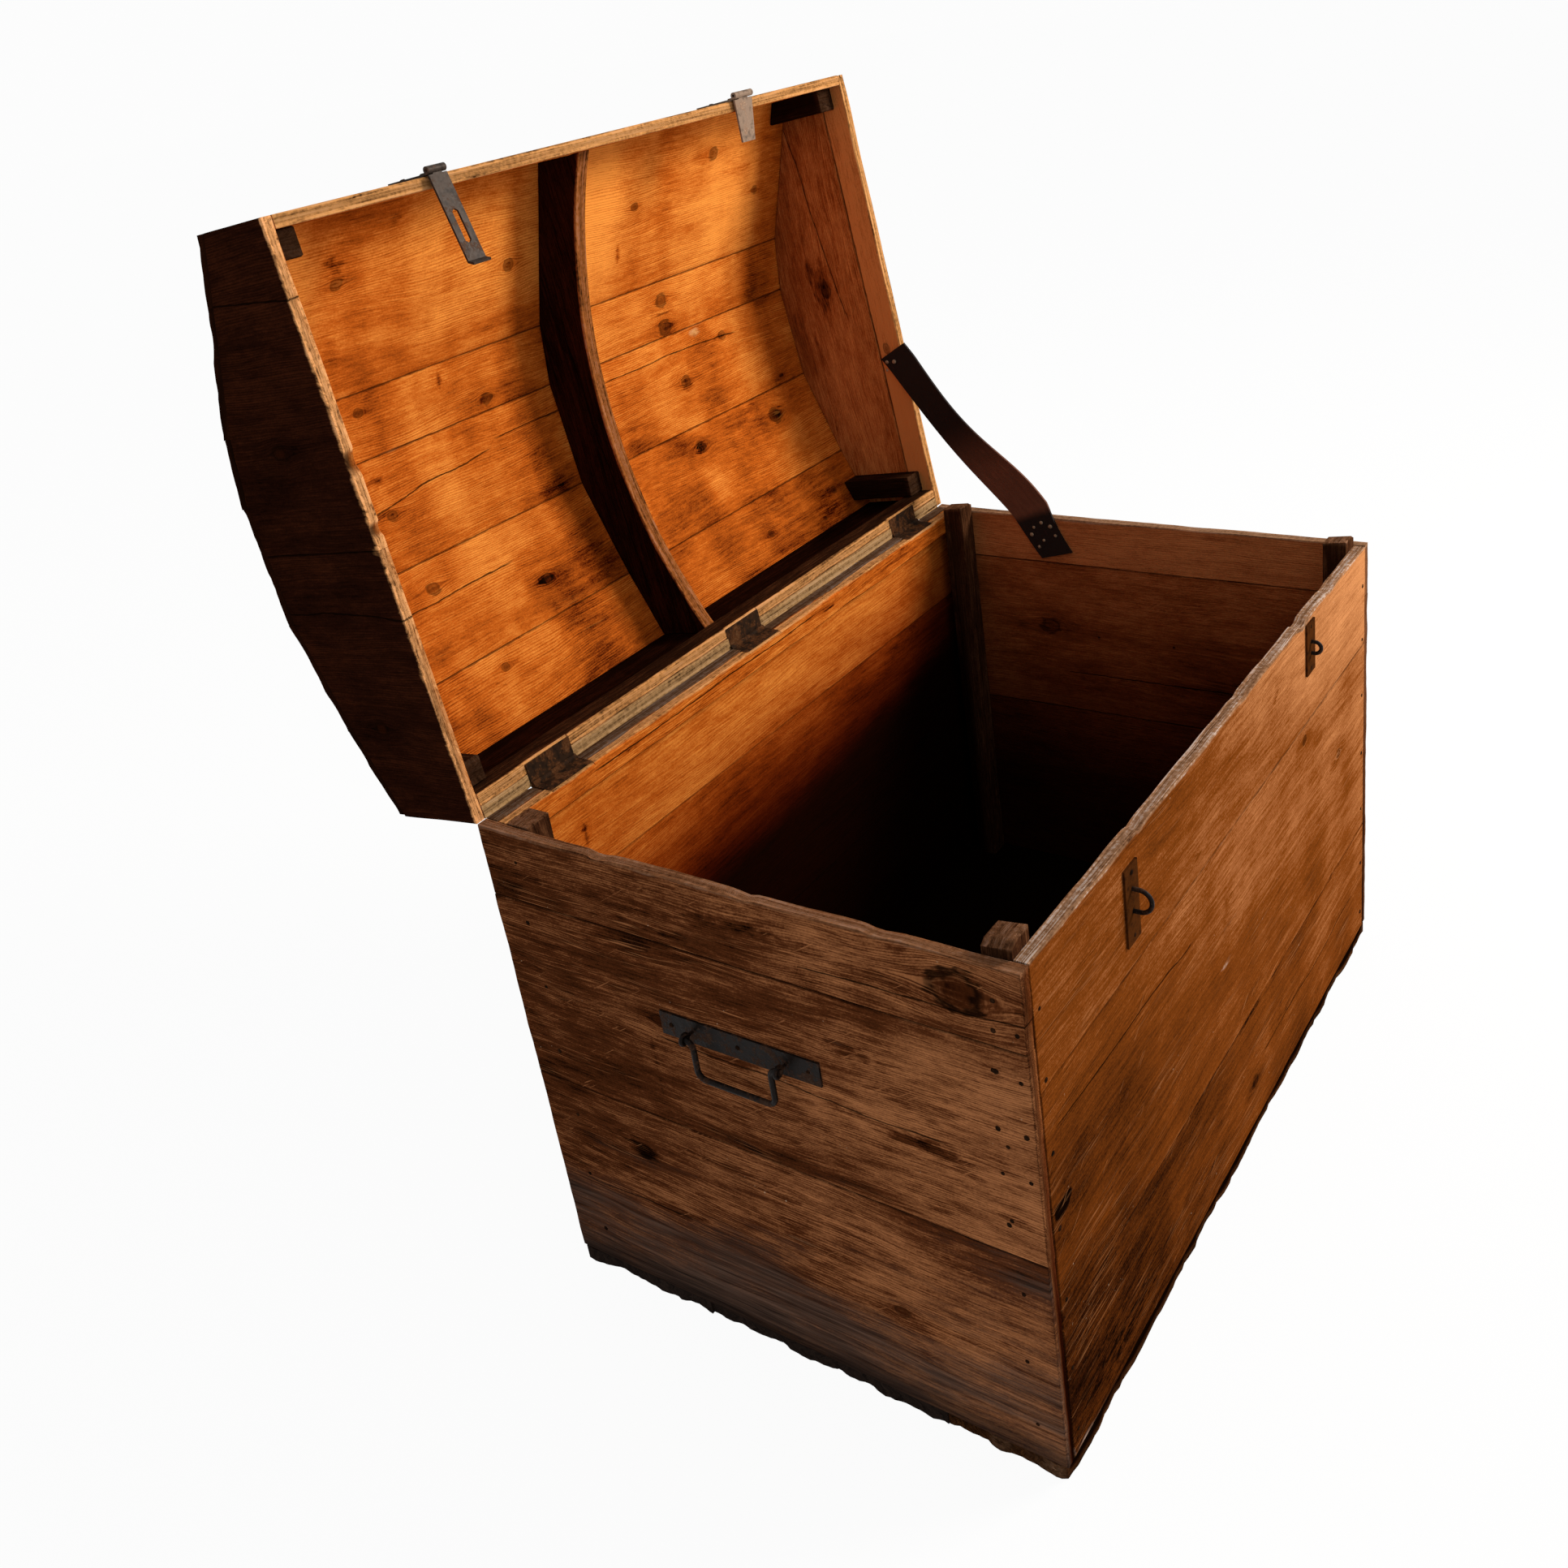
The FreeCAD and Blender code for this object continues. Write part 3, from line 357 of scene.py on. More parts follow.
def board(name, spot, grain, cross, thick, body, nodes, material, *, seed=0, cell=8.0, ends=None,
          sides=None, round_edge=ROUND_EDGE, extra=(), hollow=unworn, rubbed=(0, 0, 0, 0),
          outer_ends=False, outer_sides=(False, False), **marks):
    """One worn board. spot(u, v, w) gives places, w running from its inner to its outer face.

    ends and sides are the curves of its edges, extra are grid lines that it needs, and hollow
    says how far its two faces are worn in. rubbed says how worn its first end, last end, low side
    and high side are. outer_ends gives its ends the colours of its outer face and keeps pale
    marks off that face, and outer_sides gives these colours to its low and high side. The marks
    are those of keep_marks.
    """
    ends = ends or (straight(grain[0], seed + 3, -WEAR, 40.0),
                    straight(grain[1], seed + 5, WEAR, 40.0))
    sides = sides or (straight(cross[0], seed + 7, -WEAR / 2),
                      straight(cross[1], seed + 9, WEAR / 2))
    u, v = board_outline(grain, cross, cell, ends, sides, extra)
    face_u, face_v, rounding = rounded(u, v, seed, round_edge)
    low, lost = hollow(u, v)
    high = thick - lost
    rim = rim_places(*u.shape)
    all_u = np.concatenate([face_u.ravel(), face_u.ravel(), u[rim], u[rim]])
    all_v = np.concatenate([face_v.ravel(), face_v.ravel(), v[rim], v[rim]])
    all_w = np.concatenate([low.ravel(), high.ravel(), low[rim] + rounding[rim],
                            high[rim] - rounding[rim]])

    number = np.arange(u.size).reshape(u.shape)
    inner_rim = number[rim]
    low_ring = 2 * u.size + np.arange(inner_rim.size)
    high_ring = low_ring + inner_rim.size
    faces = grid_faces(number) + ring_faces(inner_rim, low_ring)
    faces += ring_faces(low_ring, high_ring) + ring_faces(high_ring, inner_rim + u.size)
    mesh = new_mesh(name, spot(all_u, all_v, all_w), faces)

    steps_in = (all_u - u.min(), u.max() - all_u, all_v - sides[0](all_u),
                sides[1](all_u) - all_v)
    edge = np.clip(np.minimum.reduce(steps_in), 0, EDGE_SEEN)
    edge[2 * u.size:] = 0.0
    side = all_w / thick
    near_knot = keep_marks(mesh, all_u, all_v, side, rubbed_amount(steps_in, rubbed), outer_ends,
                           **marks)
    side[2 * u.size:][np.tile(outer_rim(rim, u.shape, outer_ends, outer_sides), 2)] = 1.0
    store(mesh, "about", np.stack([edge, side, near_knot], axis=1))
    # Each board shows another stretch of the grain.
    shift = np.array([seed * 0.37 % 7, seed * 0.61 % 5, 0.0])
    store(mesh, "grain", np.stack([all_u, all_v, all_w], axis=1) * 0.001 + shift)
    finish_mesh(mesh, material)
    thing = add(name, mesh)
    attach(thing, body)
    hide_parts(*nodes)
    BOARDS.append(name)
    return thing


# %% [markdown]
# ## Writing a finish as sums
# A finish is a web of small nodes. Wrapping a socket in a class with + - * and / lets each idea be
# one line of Python, and each line adds its own Math nodes.

# %% A socket that does sums
class Value:
    """One socket of a material, for use in sums."""

    def __init__(self, tree, socket):
        self.tree = tree
        self.socket = socket

    def math(self, operation, *others):
        """This socket and others through a Math node."""
        return self.tree.node("ShaderNodeMath", {"operation": operation}, [self, *others])

    def __add__(self, other):
        return self.math("ADD", other)

    def __sub__(self, other):
        return self.math("SUBTRACT", other)

    def __rsub__(self, other):
        return self.tree.node("ShaderNodeMath", {"operation": "SUBTRACT"}, [other, self])

    def __mul__(self, other):
        return self.math("MULTIPLY", other)

    def __truediv__(self, other):
        return self.math("DIVIDE", other)

    def __pow__(self, other):
        return self.math("POWER", other)

    def __rpow__(self, other):
        return self.tree.node("ShaderNodeMath", {"operation": "POWER"}, [other, self])

    __radd__ = __add__
    __rmul__ = __mul__


# %% A material's nodes
class Tree:
    """A material's nodes."""

    def __init__(self, name):
        self.material = bpy.data.materials.new(name)
        self.material.use_nodes = True
        self.nodes = self.material.node_tree.nodes
        self.links = self.material.node_tree.links
        self.shader = self.nodes["Principled BSDF"]

    def node(self, kind, settings, inputs, output=0):
        """Adds a node. Settings come first, then its inputs by place or by name."""
        made = self.nodes.new(kind)
        for key, value in settings.items():
            setattr(made, key, value)
        pairs = inputs.items() if isinstance(inputs, dict) else enumerate(inputs)
        for key, value in pairs:
            self.put(made.inputs[key], value)
        return Value(self, made.outputs[output])

    def put(self, socket, value):
        """Links a value to a socket, or sets it there."""
        if isinstance(value, Value):
            self.links.new(value.socket, socket)
        else:
            socket.default_value = value

    def set(self, name, value):
        """Sets one of the shader's own sockets."""
        self.put(self.shader.inputs[name], value)

    def attribute(self, name):
        """The three numbers that a mesh keeps under a name."""
        return self.parts(self.node("ShaderNodeAttribute", {"attribute_name": name}, [], "Vector"))

    def parts(self, vector):
        """X, Y and Z of a vector."""
        split = self.nodes.new("ShaderNodeSeparateXYZ")
        self.links.new(vector.socket, split.inputs[0])
        return [Value(self, socket) for socket in split.outputs]

    def vector(self, x, y, z):
        """A vector from three numbers."""
        return self.node("ShaderNodeCombineXYZ", {}, [x, y, z])

    def noise(self, at, detail=2.0, coarse=0.5, scale=1.0):
        """Soft random cloud between 0 and 1."""
        return self.node("ShaderNodeTexNoise", {}, {"Vector": at, "Scale": scale,
                                                    "Detail": detail, "Roughness": coarse})

    def step(self, value, low, high):
        """0 below low and 1 above high, smooth between. The other way round if low is larger."""
        return self.node("ShaderNodeMapRange", {"interpolation_type": "SMOOTHSTEP"},
                         [value, low, high, 0.0, 1.0])

    def mix(self, amount, first, second, blend="MIX"):
        """Mixes two colours."""
        made = self.nodes.new("ShaderNodeMix")
        made.data_type = "RGBA"
        made.blend_type = blend
        self.put(made.inputs["Factor"], amount)
        self.put(made.inputs[6], first)
        self.put(made.inputs[7], second)
        return Value(self, made.outputs[2])

    def ramp(self, amount, stops):
        """Colour along a row of (place, colour) stops."""
        made = self.nodes.new("ShaderNodeValToRGB")
        while len(made.color_ramp.elements) < len(stops):
            made.color_ramp.elements.new(0.5)
        for element, (place, tint) in zip(made.color_ramp.elements, stops):
            element.position = place
            element.color = tint
        self.put(made.inputs[0], amount)
        return Value(self, made.outputs[0])

    def bump(self, height, distance, strength=1.0):
        """Puts a height in metres on the shader's normal."""
        made = self.node("ShaderNodeBump", {}, {"Strength": strength, "Distance": distance,
                                                "Height": height})
        self.set("Normal", made)


# %% Colours from a screen
def colour(red, green, blue):
    """A colour from its screen values of 0 to 255."""
    def linear(part):
        """Blender counts light itself, not the numbers of a screen."""
        part = part / 255
        return part / 12.92 if part <= 0.04045 else ((part + 0.055) / 1.055) ** 2.4
    return (linear(red), linear(green), linear(blue), 1.0)


# %% [markdown]
# ## Old pine
# Pine shows hard dark growth lines in soft pale wood, brown knots that push the lines aside, and a
# century of handling: stains, scratches and grime in the joints, with bare wood where edges rub.
# Inner and outer faces age differently, so one finish holds two sets of colours and picks by how
# far through the board a point lies. On some parts the inner set is painted shade.

# %% What all pine shares
NEAR_BLACK = colour(14, 5, 2)
DUSK_RED = colour(178, 98, 68)
DUSK_BROWN = colour(168, 126, 104)
SHADES = (0.0, 0.12, 0.5, 0.92)
EDGE_REACH = 3.0
BUMP_HIGH = 0.0012


def bleached(tint, part):
    """A colour some part of the way to white."""
    return tuple(value + part * (1.0 - value) for value in tint)


class Pine(Tree):
    """The nodes of one pine finish, with the places and clouds that all its layers share."""

    def __init__(self, name, seed):
        super().__init__(name)
        self.along, self.across, self.through = self.attribute("grain")
        self.knot_x, self.knot_y, self.radius = self.attribute("knot")
        self.gap, self.near_crack, self.soft = self.attribute("crack")
        self.stain, self.bare, self.tone = self.attribute("marks")
        self.edge, side, self.near_knot = self.attribute("about")
        self.x, self.y, self.z = self.parts(self.node("ShaderNodeTexCoord", {}, [], "Object"))
        self.face = self.step(side, 0.25, 0.75)
        # The clouds differ between the two faces, at every depth and from finish to finish.
        self.layer = self.face * 7.0 + self.through * 60.0 + seed
        self.far = self.knot_x * self.knot_x + self.knot_y * self.knot_y
        self.flow = self.across
        self.flow = self.bent_grain()
        self.broad = self.cloud(2.2, 7.0)
        self.patch = self.cloud(8.0, 36.0, 5.0, 0.65, 1.7)
        self.streak = self.cloud(4.0, 150.0, 3.0, 0.6, 5.0)
        self.fine = self.cloud(14.0, 430.0, 2.0, 0.6, 9.0)
        self.ragged = self.cloud(55.0, 150.0, 2.0, 0.5, 2.0)
        self.flecks = self.cloud(55.0, 280.0, 4.0, 0.75, 11.0)
        self.handled = self.cloud(5.0, 26.0, 3.0, 0.6, 8.0)

    def cloud(self, long, wide, detail=3.0, coarse=0.55, add=0.0):
        """A cloud of about -0.5 to 0.5, with features to the metre along and across the grain."""
        at = self.vector(self.along * long, self.flow * wide, self.layer + add)
        return self.noise(at, detail, coarse) * 2.5 - 1.25

    def bent_grain(self):
        """Place across the grain, drifting slowly and pushed aside at knots."""
        push = 0.74 ** self.far
        lean = self.knot_y / (self.knot_y.math("ABSOLUTE") + 0.55)
        pushed = push * lean * self.radius * self.near_knot * 1.1
        return self.across + self.cloud(1.6, 5.0) * 0.022 - pushed


# %% Lines, clouds and stains of the wood
def growth_lines(tree):
    """Dark late wood, where the board cuts the tree's rings."""
    depth = tree.through + tree.along * 0.02 + 0.045
    rings = (tree.flow * tree.flow + depth * depth) ** 0.5
    phase = (rings * 310.0 + tree.streak * 0.35).math("FRACT")
    late = tree.step(phase, 0.35, 0.88) * (1 - tree.step(phase, 0.93, 1.0))
    return late * tree.step(tree.broad + tree.patch * 0.5, -0.35, 0.25)


def unevenness(tree, cloudy, patchy, streaky, fleck):
    """Lighter and darker wood, from wide clouds down to single fibres."""
    fibre = tree.cloud(30.0, 1100.0, 1.0, 0.5, 13.0)
    grit = tree.cloud(300.0, 460.0, 2.0, 0.7, 4.0)
    blotch = tree.cloud(17.0, 30.0, 5.0, 0.7, 21.0)
    streaks = tree.streak * 0.20 + tree.fine * 0.28 + fibre * 0.16
    flecked = tree.flecks * 0.2 + blotch * 0.18
    return (tree.broad * 0.34 * cloudy + tree.patch * 0.30 * patchy + streaks * streaky
            + flecked * fleck + grit * 0.16)


def darkening(tree):
    """What stains, the wood around knots and soft marks take away. Some soft marks are painted
    shade and light.
    """
    stain = tree.stain + tree.patch * 0.45 + tree.ragged * 0.3 + tree.streak * 0.3
    oval = tree.knot_x * tree.knot_x * 0.14 + tree.knot_y * tree.knot_y * 1.5
    flame = tree.near_knot / (1 + oval)
    return (tree.step(stain, 0.40, 0.95) * 0.46 + flame * (0.26 + tree.streak * 0.3)
            + tree.soft * 0.5)


def wood_colour(tree, shade, inner, outer):
    """The colours of the inner and the outer face for a shade."""
    inside = tree.ramp(shade, list(zip(SHADES, (NEAR_BLACK, *inner))))
    outside = tree.ramp(shade, list(zip(SHADES, (NEAR_BLACK, *outer))))
    return tree.mix(tree.face, inside, outside)


# %% Knots
def knot_colour(tree, base):
    """Paints a knot's rings and its bark, and tells where its heart is."""
    far = tree.far ** 0.5 + tree.ragged * 0.55 + tree.patch * 0.35
    heart = tree.step(far, 0.95, 0.35) * tree.near_knot
    rings = (far * 3.0).math("FRACT")
    base = tree.mix(heart * (0.45 + rings * 0.25), base, colour(50, 20, 6))
    bark = tree.step(far, 1.3, 0.95) * tree.step(far, 0.45, 0.9) * tree.near_knot
    base = tree.mix(bark * (0.4 + tree.radius * 20.0), base, colour(24, 10, 4))
    return base, heart


# %% [markdown]
# Handling leaves scratches, and it rubs edges and corners bare. Bare wood is paler and shows the
# torn ends of its fibres.

# %% Scratches and bare wood
def scratches(tree):
    """Thin scratches along the grain, and a few slanting ones."""
    thin = tree.step(tree.cloud(12.0, 620.0, 1.0, 0.5, 6.0), 0.22, 0.46)
    thin = thin * tree.step(tree.handled, -0.1, 0.3)
    slant = tree.vector(tree.along * 14.0 + tree.across * 9.0,
                        tree.across * 340.0 - tree.along * 230.0, tree.layer)
    slashed = tree.step(tree.noise(slant, 0.0, 0.5), 0.72, 0.78)
    slashed = slashed * tree.step(tree.patch, 0.05, 0.3)
    return (thin + slashed * 0.8).math("MINIMUM", 1.0)


def rubbed_places(tree):
    """Where the wood is rubbed bare: at marks, and all along worn edges."""
    marked = tree.step(tree.bare + tree.patch * 0.5 + tree.ragged * 0.12, 0.42, 0.85)
    edge = tree.step(tree.edge + tree.ragged * 3.0 + tree.patch * 3.0, EDGE_REACH, 0.0)
    return marked.math("MAXIMUM", edge * tree.bare)


def worn_colour(tree, worn, chalk):
    """The colour of rubbed wood, with the lines and chips of its edge."""
    at = tree.vector(tree.along * 6.0, tree.through * 420.0, tree.flow * 30.0)
    lines = tree.noise(at, 2.0) - 0.5
    at = tree.vector(tree.x * 160.0, tree.y * 160.0, tree.z * 160.0)
    chipped = tree.noise(at, 2.0, 0.6) - 0.5
    shade = (0.66 + tree.patch * 0.6 + tree.streak * 0.5 + tree.fine * 0.4 + lines * 1.6
             + chipped * 1.2)
    return tree.ramp(shade, [(0.0, colour(52, 28, 15)), (0.75, worn),
                             (1.0, bleached(worn, chalk))])


# %% Specks, dust with a painted sheen, and painted shade inside
def pale_specks(tree, base, amount):
    """Small pale chips of the outer face."""
    at = tree.vector(tree.x, tree.y, tree.z)
    chips = tree.step(tree.noise(at, 0.0, 0.5, 210.0), 0.83, 0.87)
    amount = chips * tree.face * tree.step(tree.handled, 0.1, 0.4) * amount
    return tree.mix(amount, base, colour(214, 186, 156))


def dust_sheen_and_damp(tree, base, amount):
    """Dust low on the outer face, partly a painted sheen, and damp just above the floor."""
    height = tree.z + tree.broad * 0.22 + tree.patch * 0.12 + tree.flecks * 0.06
    dust = tree.mix(0.5 + tree.streak + tree.fine * 0.5, colour(44, 33, 28),
                    colour(108, 86, 74))
    base = tree.mix(tree.step(height, 0.28, 0.02) * amount * tree.face, base, dust)
    damp = tree.step(tree.z + tree.patch * 0.02, 0.075, 0.03) * amount
    return tree.mix(damp * tree.face * 0.8, base, colour(26, 22, 21))


def painted_inner_shade(tree, base, strength, high, low, dusk):
    """Painted shade on the inner face, darker from a height down to a lower one."""
    height = tree.z + tree.broad * 0.05 - tree.x * 0.1
    lost = tree.step(height, high, low) * strength * (1 - tree.face)
    base = tree.mix(lost, base, dusk, "MULTIPLY")
    return tree.mix(lost * lost, base, colour(13, 5, 2))


# %% The pine finish
def pine(name, inner, outer, worn, *, line=0.5, mottle=0.5, scratch=0.3, grime=0.5, smear=0.0,
         specks=0.0, grey=0.0, gloom=None, slope=(0.0, 0.0, 0.0), streaky=1.0, cloudy=1.0,
         patchy=1.0, fleck=1.0, stains=0.0, chalk=0.04, dusk=DUSK_RED, seed=0.0):
    """One finish of worn pine.

    inner and outer are (dark, middle, light) colours, and worn is the colour of rubbed edges.
    line, mottle, scratch, grime, specks and grey are amounts of growth lines, dark patches,
    scratches, grime in the joints, pale specks, and dust that is partly a painted sheen. smear and
    stains are bands across the inner and the outer face. gloom is (amount, height, lower height) of
    painted shade inside, in metres. slope is painted light and shade, lightening along X, Y and Z.
    cloudy, patchy, streaky and fleck scale the unevenness.
    """
    tree = Pine(name, seed)
    late = growth_lines(tree) * line
    mottled = tree.step(tree.patch + tree.broad * 0.8, 0.18, 0.5) * mottle
    # The slope terms paint light and shade as a gradient.
    shade = (0.52 + unevenness(tree, cloudy, patchy, streaky, fleck) - late * 0.26 + tree.tone
             + tree.x * slope[0] + tree.y * slope[1] + (tree.z - 0.4) * slope[2]
             - mottled * 0.30 - darkening(tree))
    if smear or stains:
        bands = tree.noise(tree.vector(tree.along * 10.0, tree.across * 1.3, seed)) * 2.5 - 1.25
        shade = shade + bands * smear * (1 - tree.face) + bands * stains * tree.face
    base, heart = knot_colour(tree, wood_colour(tree, shade, inner, outer))

    scraped = scratches(tree) * scratch
    rubbed = rubbed_places(tree)
    base = tree.mix(rubbed, base, worn_colour(tree, worn, chalk))
    base = tree.mix(scraped, base, tree.mix(tree.face, inner[2], outer[2]))
    soot = tree.step(tree.edge + tree.ragged * 1.6, 2.0, 0.3) * (1 - rubbed) * grime
    base = tree.mix(soot, base, colour(24, 12, 6))
    off = (tree.gap + tree.ragged * 1.3 + tree.streak * 1.5).math("ABSOLUTE")
    split = tree.step(off, 1.5, 0.3) * tree.near_crack
    base = tree.mix(split * 0.85, base, colour(12, 6, 3))
    if specks:
        base = pale_specks(tree, base, specks)
    # Dust low down, partly a painted sheen.
    if grey:
        base = dust_sheen_and_damp(tree, base, grey)
    # Painted shade inside, darker downwards.
    if gloom:
        base = painted_inner_shade(tree, base, *gloom, dusk)

    tree.set("Base Color", base)
    tree.set("Roughness", (0.74 + tree.broad * 0.12 - scraped * 0.1).math("MINIMUM", 0.95))
    tree.set("Specular IOR Level", 0.0)
    height = (tree.fine * 0.2 + tree.streak * 0.25 + tree.flecks * 0.3 + tree.patch * 0.35
              - late * 0.5 - scraped * 0.3 - split * 1.6 + heart * 0.2 - mottled * 0.3)
    tree.bump(height, BUMP_HIGH, 0.8)
    return tree.material

# %% Colours of the chest's pine
INSIDE_ORANGE = (colour(90, 30, 6), colour(194, 95, 26), colour(246, 154, 66))
INSIDE_RED = (colour(46, 20, 7), colour(144, 76, 32), colour(206, 134, 74))
SILL_BROWN = (colour(20, 12, 8), colour(70, 40, 20), colour(150, 96, 56))
BASE_BLACK = (colour(12, 10, 9), colour(36, 31, 28), colour(96, 86, 76))
INSIDE_DARK = (colour(46, 18, 6), colour(128, 66, 31), colour(184, 114, 66))
# These near-black colours are painted shade for inner faces in shadow: the bottom inside, the lid's
# back board and the rib's left face.
SHADE_BLACK = (colour(8, 3, 1), colour(24, 9, 4), colour(56, 26, 12))
FRONT_BROWN = (colour(42, 18, 6), colour(118, 60, 18), colour(194, 130, 82))
END_DARK = (colour(26, 10, 4), colour(92, 48, 24), colour(184, 120, 76))
LID_BLACK = (colour(14, 5, 3), colour(42, 18, 9), colour(72, 34, 18))
POST_GREY = (colour(26, 13, 7), colour(72, 42, 25), colour(128, 86, 56))
# These dark colours are painted shade for the lid's rail and corner blocks.
RAIL_SHADE = (colour(16, 8, 4), colour(44, 25, 14), colour(92, 58, 34))
TAN_WORN = colour(208, 146, 86)
# This rubbed colour is made paler still as a painted highlight on the lid's left rim.
RED_WORN_AND_LIT = colour(236, 166, 104)
BUFF_WORN = colour(178, 138, 92)
GREY_WORN = colour(152, 112, 82)
SLATE_WORN = colour(90, 66, 48)
BROWN_WORN = colour(140, 96, 66)
RIB_WORN = colour(158, 92, 44)

# In these finishes gloom is painted shade inside the chest, darker downwards, and slope is a
# painted gradient of light and shade.
FINISH = {
    "front": pine("pine_front", INSIDE_DARK, FRONT_BROWN, GREY_WORN, mottle=0.3, line=0.3,
                  gloom=(0.97, 0.72, 0.3), slope=(0.28, 0.0, 0.45), seed=1.3,
                  specks=0.4, streaky=0.5, cloudy=0.9, patchy=0.3, fleck=0.35, stains=0.1,
                  chalk=0.25),
    # The left end's slope is painted light towards the front, and its dust low down is partly a
    # painted sheen.
    "end": pine("pine_end", INSIDE_DARK, END_DARK, BROWN_WORN, scratch=0.7, mottle=1.0, grey=0.8,
                gloom=(0.97, 0.74, 0.2), line=0.6, slope=(0.0, -0.4, 0.0), seed=2.1, specks=0.7,
                cloudy=1.7, patchy=1.3, fleck=0.9, streaky=0.75),
    "right_end": pine("pine_right_end", INSIDE_DARK, END_DARK, GREY_WORN, scratch=0.35,
                      grey=0.45, gloom=(0.92, 0.66, 0.1), streaky=0.5, dusk=DUSK_BROWN,
                      seed=2.8),
    "back": pine("pine_back", INSIDE_ORANGE, END_DARK, SLATE_WORN, scratch=0.1, grey=0.45,
                 gloom=(0.99, 0.74, 0.38), grime=0.35, mottle=0.25, line=0.4,
                 streaky=0.6, cloudy=1.2, seed=3.7),
    # The bottom's inner face is painted shade.
    "bottom": pine("pine_bottom", SHADE_BLACK, BASE_BLACK, GREY_WORN, scratch=0.4, grime=0.9,
                   grey=1.0, mottle=0.9, gloom=(0.97, 0.6, 0.3), seed=4.4),
    "sill": pine("pine_sill", SHADE_BLACK, SILL_BROWN, GREY_WORN, mottle=0.7,
                 gloom=(0.97, 0.6, 0.3), seed=4.9),
    "post": pine("pine_post", POST_GREY, POST_GREY, BROWN_WORN, gloom=(0.9, 0.70, 0.3), seed=5.2),
    "rail": pine("pine_rail", INSIDE_ORANGE, POST_GREY, TAN_WORN, scratch=0.2, seed=6.6),
    "lid": pine("pine_lid", INSIDE_ORANGE, LID_BLACK, TAN_WORN, scratch=0.14, grime=0.6,
                mottle=0.35, smear=0.34, line=0.7, streaky=0.55, cloudy=1.5,
                slope=(0.06, 0.0, 0.12), seed=7.9),
    # The inner face of the lid's back board, under the rail, is painted shade.
    "lid_back": pine("pine_lid_back", SHADE_BLACK, LID_BLACK, BUFF_WORN, scratch=0.1, seed=8.8),
    # The rim of the lid's left end is rubbed wood with a painted highlight.
    "lid_end": pine("pine_lid_end", INSIDE_ORANGE, LID_BLACK, RED_WORN_AND_LIT, scratch=0.05,
                    mottle=0.3, streaky=0.6, seed=8.3),
    "lid_right": pine("pine_lid_right", INSIDE_RED, LID_BLACK, TAN_WORN, scratch=0.25,
                      mottle=0.7, streaky=0.7, cloudy=1.3, slope=(0.0, 0.0, -0.2), seed=9.1),
    # The lid's rail is painted shade.
    "lid_rail": pine("pine_lid_rail", RAIL_SHADE, RAIL_SHADE, TAN_WORN, scratch=0.15, seed=10.9),
    # The rib's left face is painted shade.
    "rib": pine("pine_rib", SHADE_BLACK, INSIDE_RED, RIB_WORN, scratch=0.05, mottle=0.2,
                seed=10.4),
    # The corner blocks are painted shade.
    "block": pine("pine_block", RAIL_SHADE, RAIL_SHADE, BROWN_WORN, scratch=0.1, seed=11.8),
}
print(len(FINISH), "pine finishes")

# %% [markdown]
# ## The chest's walls
# The front is three wide boards between the ends, and each end is three boards that run past the
# front and back, so their end grain shows at the corners. The top edges are rubbed pale and chipped
# where sacks were dragged over them. Marks on a board are given in millimetres from the left end or
# the back, and below the rim.

# %% Seats for the hinges
HINGES = (146.0, 586.0, 1066.0)
LEAF_HALF = 41.0
BARREL_HALF = 40.0
LEAF_DEEP = 2.05
BARREL_DEEP = 2.15
RIM_MEETS = 0.7
SHARP_EDGE = 0.3
# Grid lines close to both sides of each step that a hinge cuts into a rim.
LEAF_LINES = [middle + way * (half + step) for middle in HINGES for way in (-1, 1)
              for half in (BARREL_HALF, LEAF_HALF) for step in (-0.2, 0.2)]


def at_hinge(at, half=LEAF_HALF):
    """True within half a leaf's length, or another half length, of a hinge's middle."""
    return np.minimum.reduce([np.abs(at - middle) for middle in HINGES]) < half


def mortised(curve, depth):
    """An edge curve with a seat for each hinge leaf."""
    return lambda at: np.where(at_hinge(at), depth, curve(at))


def kept_at_back(curve):
    """An end board's rim, whole at the back where the lid turns on it."""
    return lambda at: curve(at) * np.clip(at / 90, 0, 1) + RIM_MEETS * np.clip(1 - at / 40, 0, 1)


def barrel_seat(u, v, w):
    """How much deeper a rim is cut towards its outer face, where the hinge barrels lie."""
    return np.where(at_hinge(u, BARREL_HALF) & (np.abs(v) < 6), BARREL_DEEP * w / BOARD, 0.0)


# %% Build one wall
LEVELS = ("top", "middle", "bottom")
BETWEEN_ENDS = (BOARD, WIDE - BOARD)


def wall_edges(level, top, low, seed, rim_loss, rim_bites, hinged):
    """Curves of a wall board's lower and upper side. The top board's upper side is the rim."""
    lower = straight(-low + 0.4, seed + 20 + level, -0.5)
    upper = straight(-top, seed + level, 0.5)
    if level == 0 and hinged:
        upper = mortised(straight(RIM_MEETS, seed, 0.3), -LEAF_DEEP)
    elif level == 0:
        upper = kept_at_back(straight(0.0, seed, rim_loss, 120.0, rim_bites))
    elif level == 2:
        lower = straight(-low, seed + 30, -1.5, 50.0)
    return lower, upper


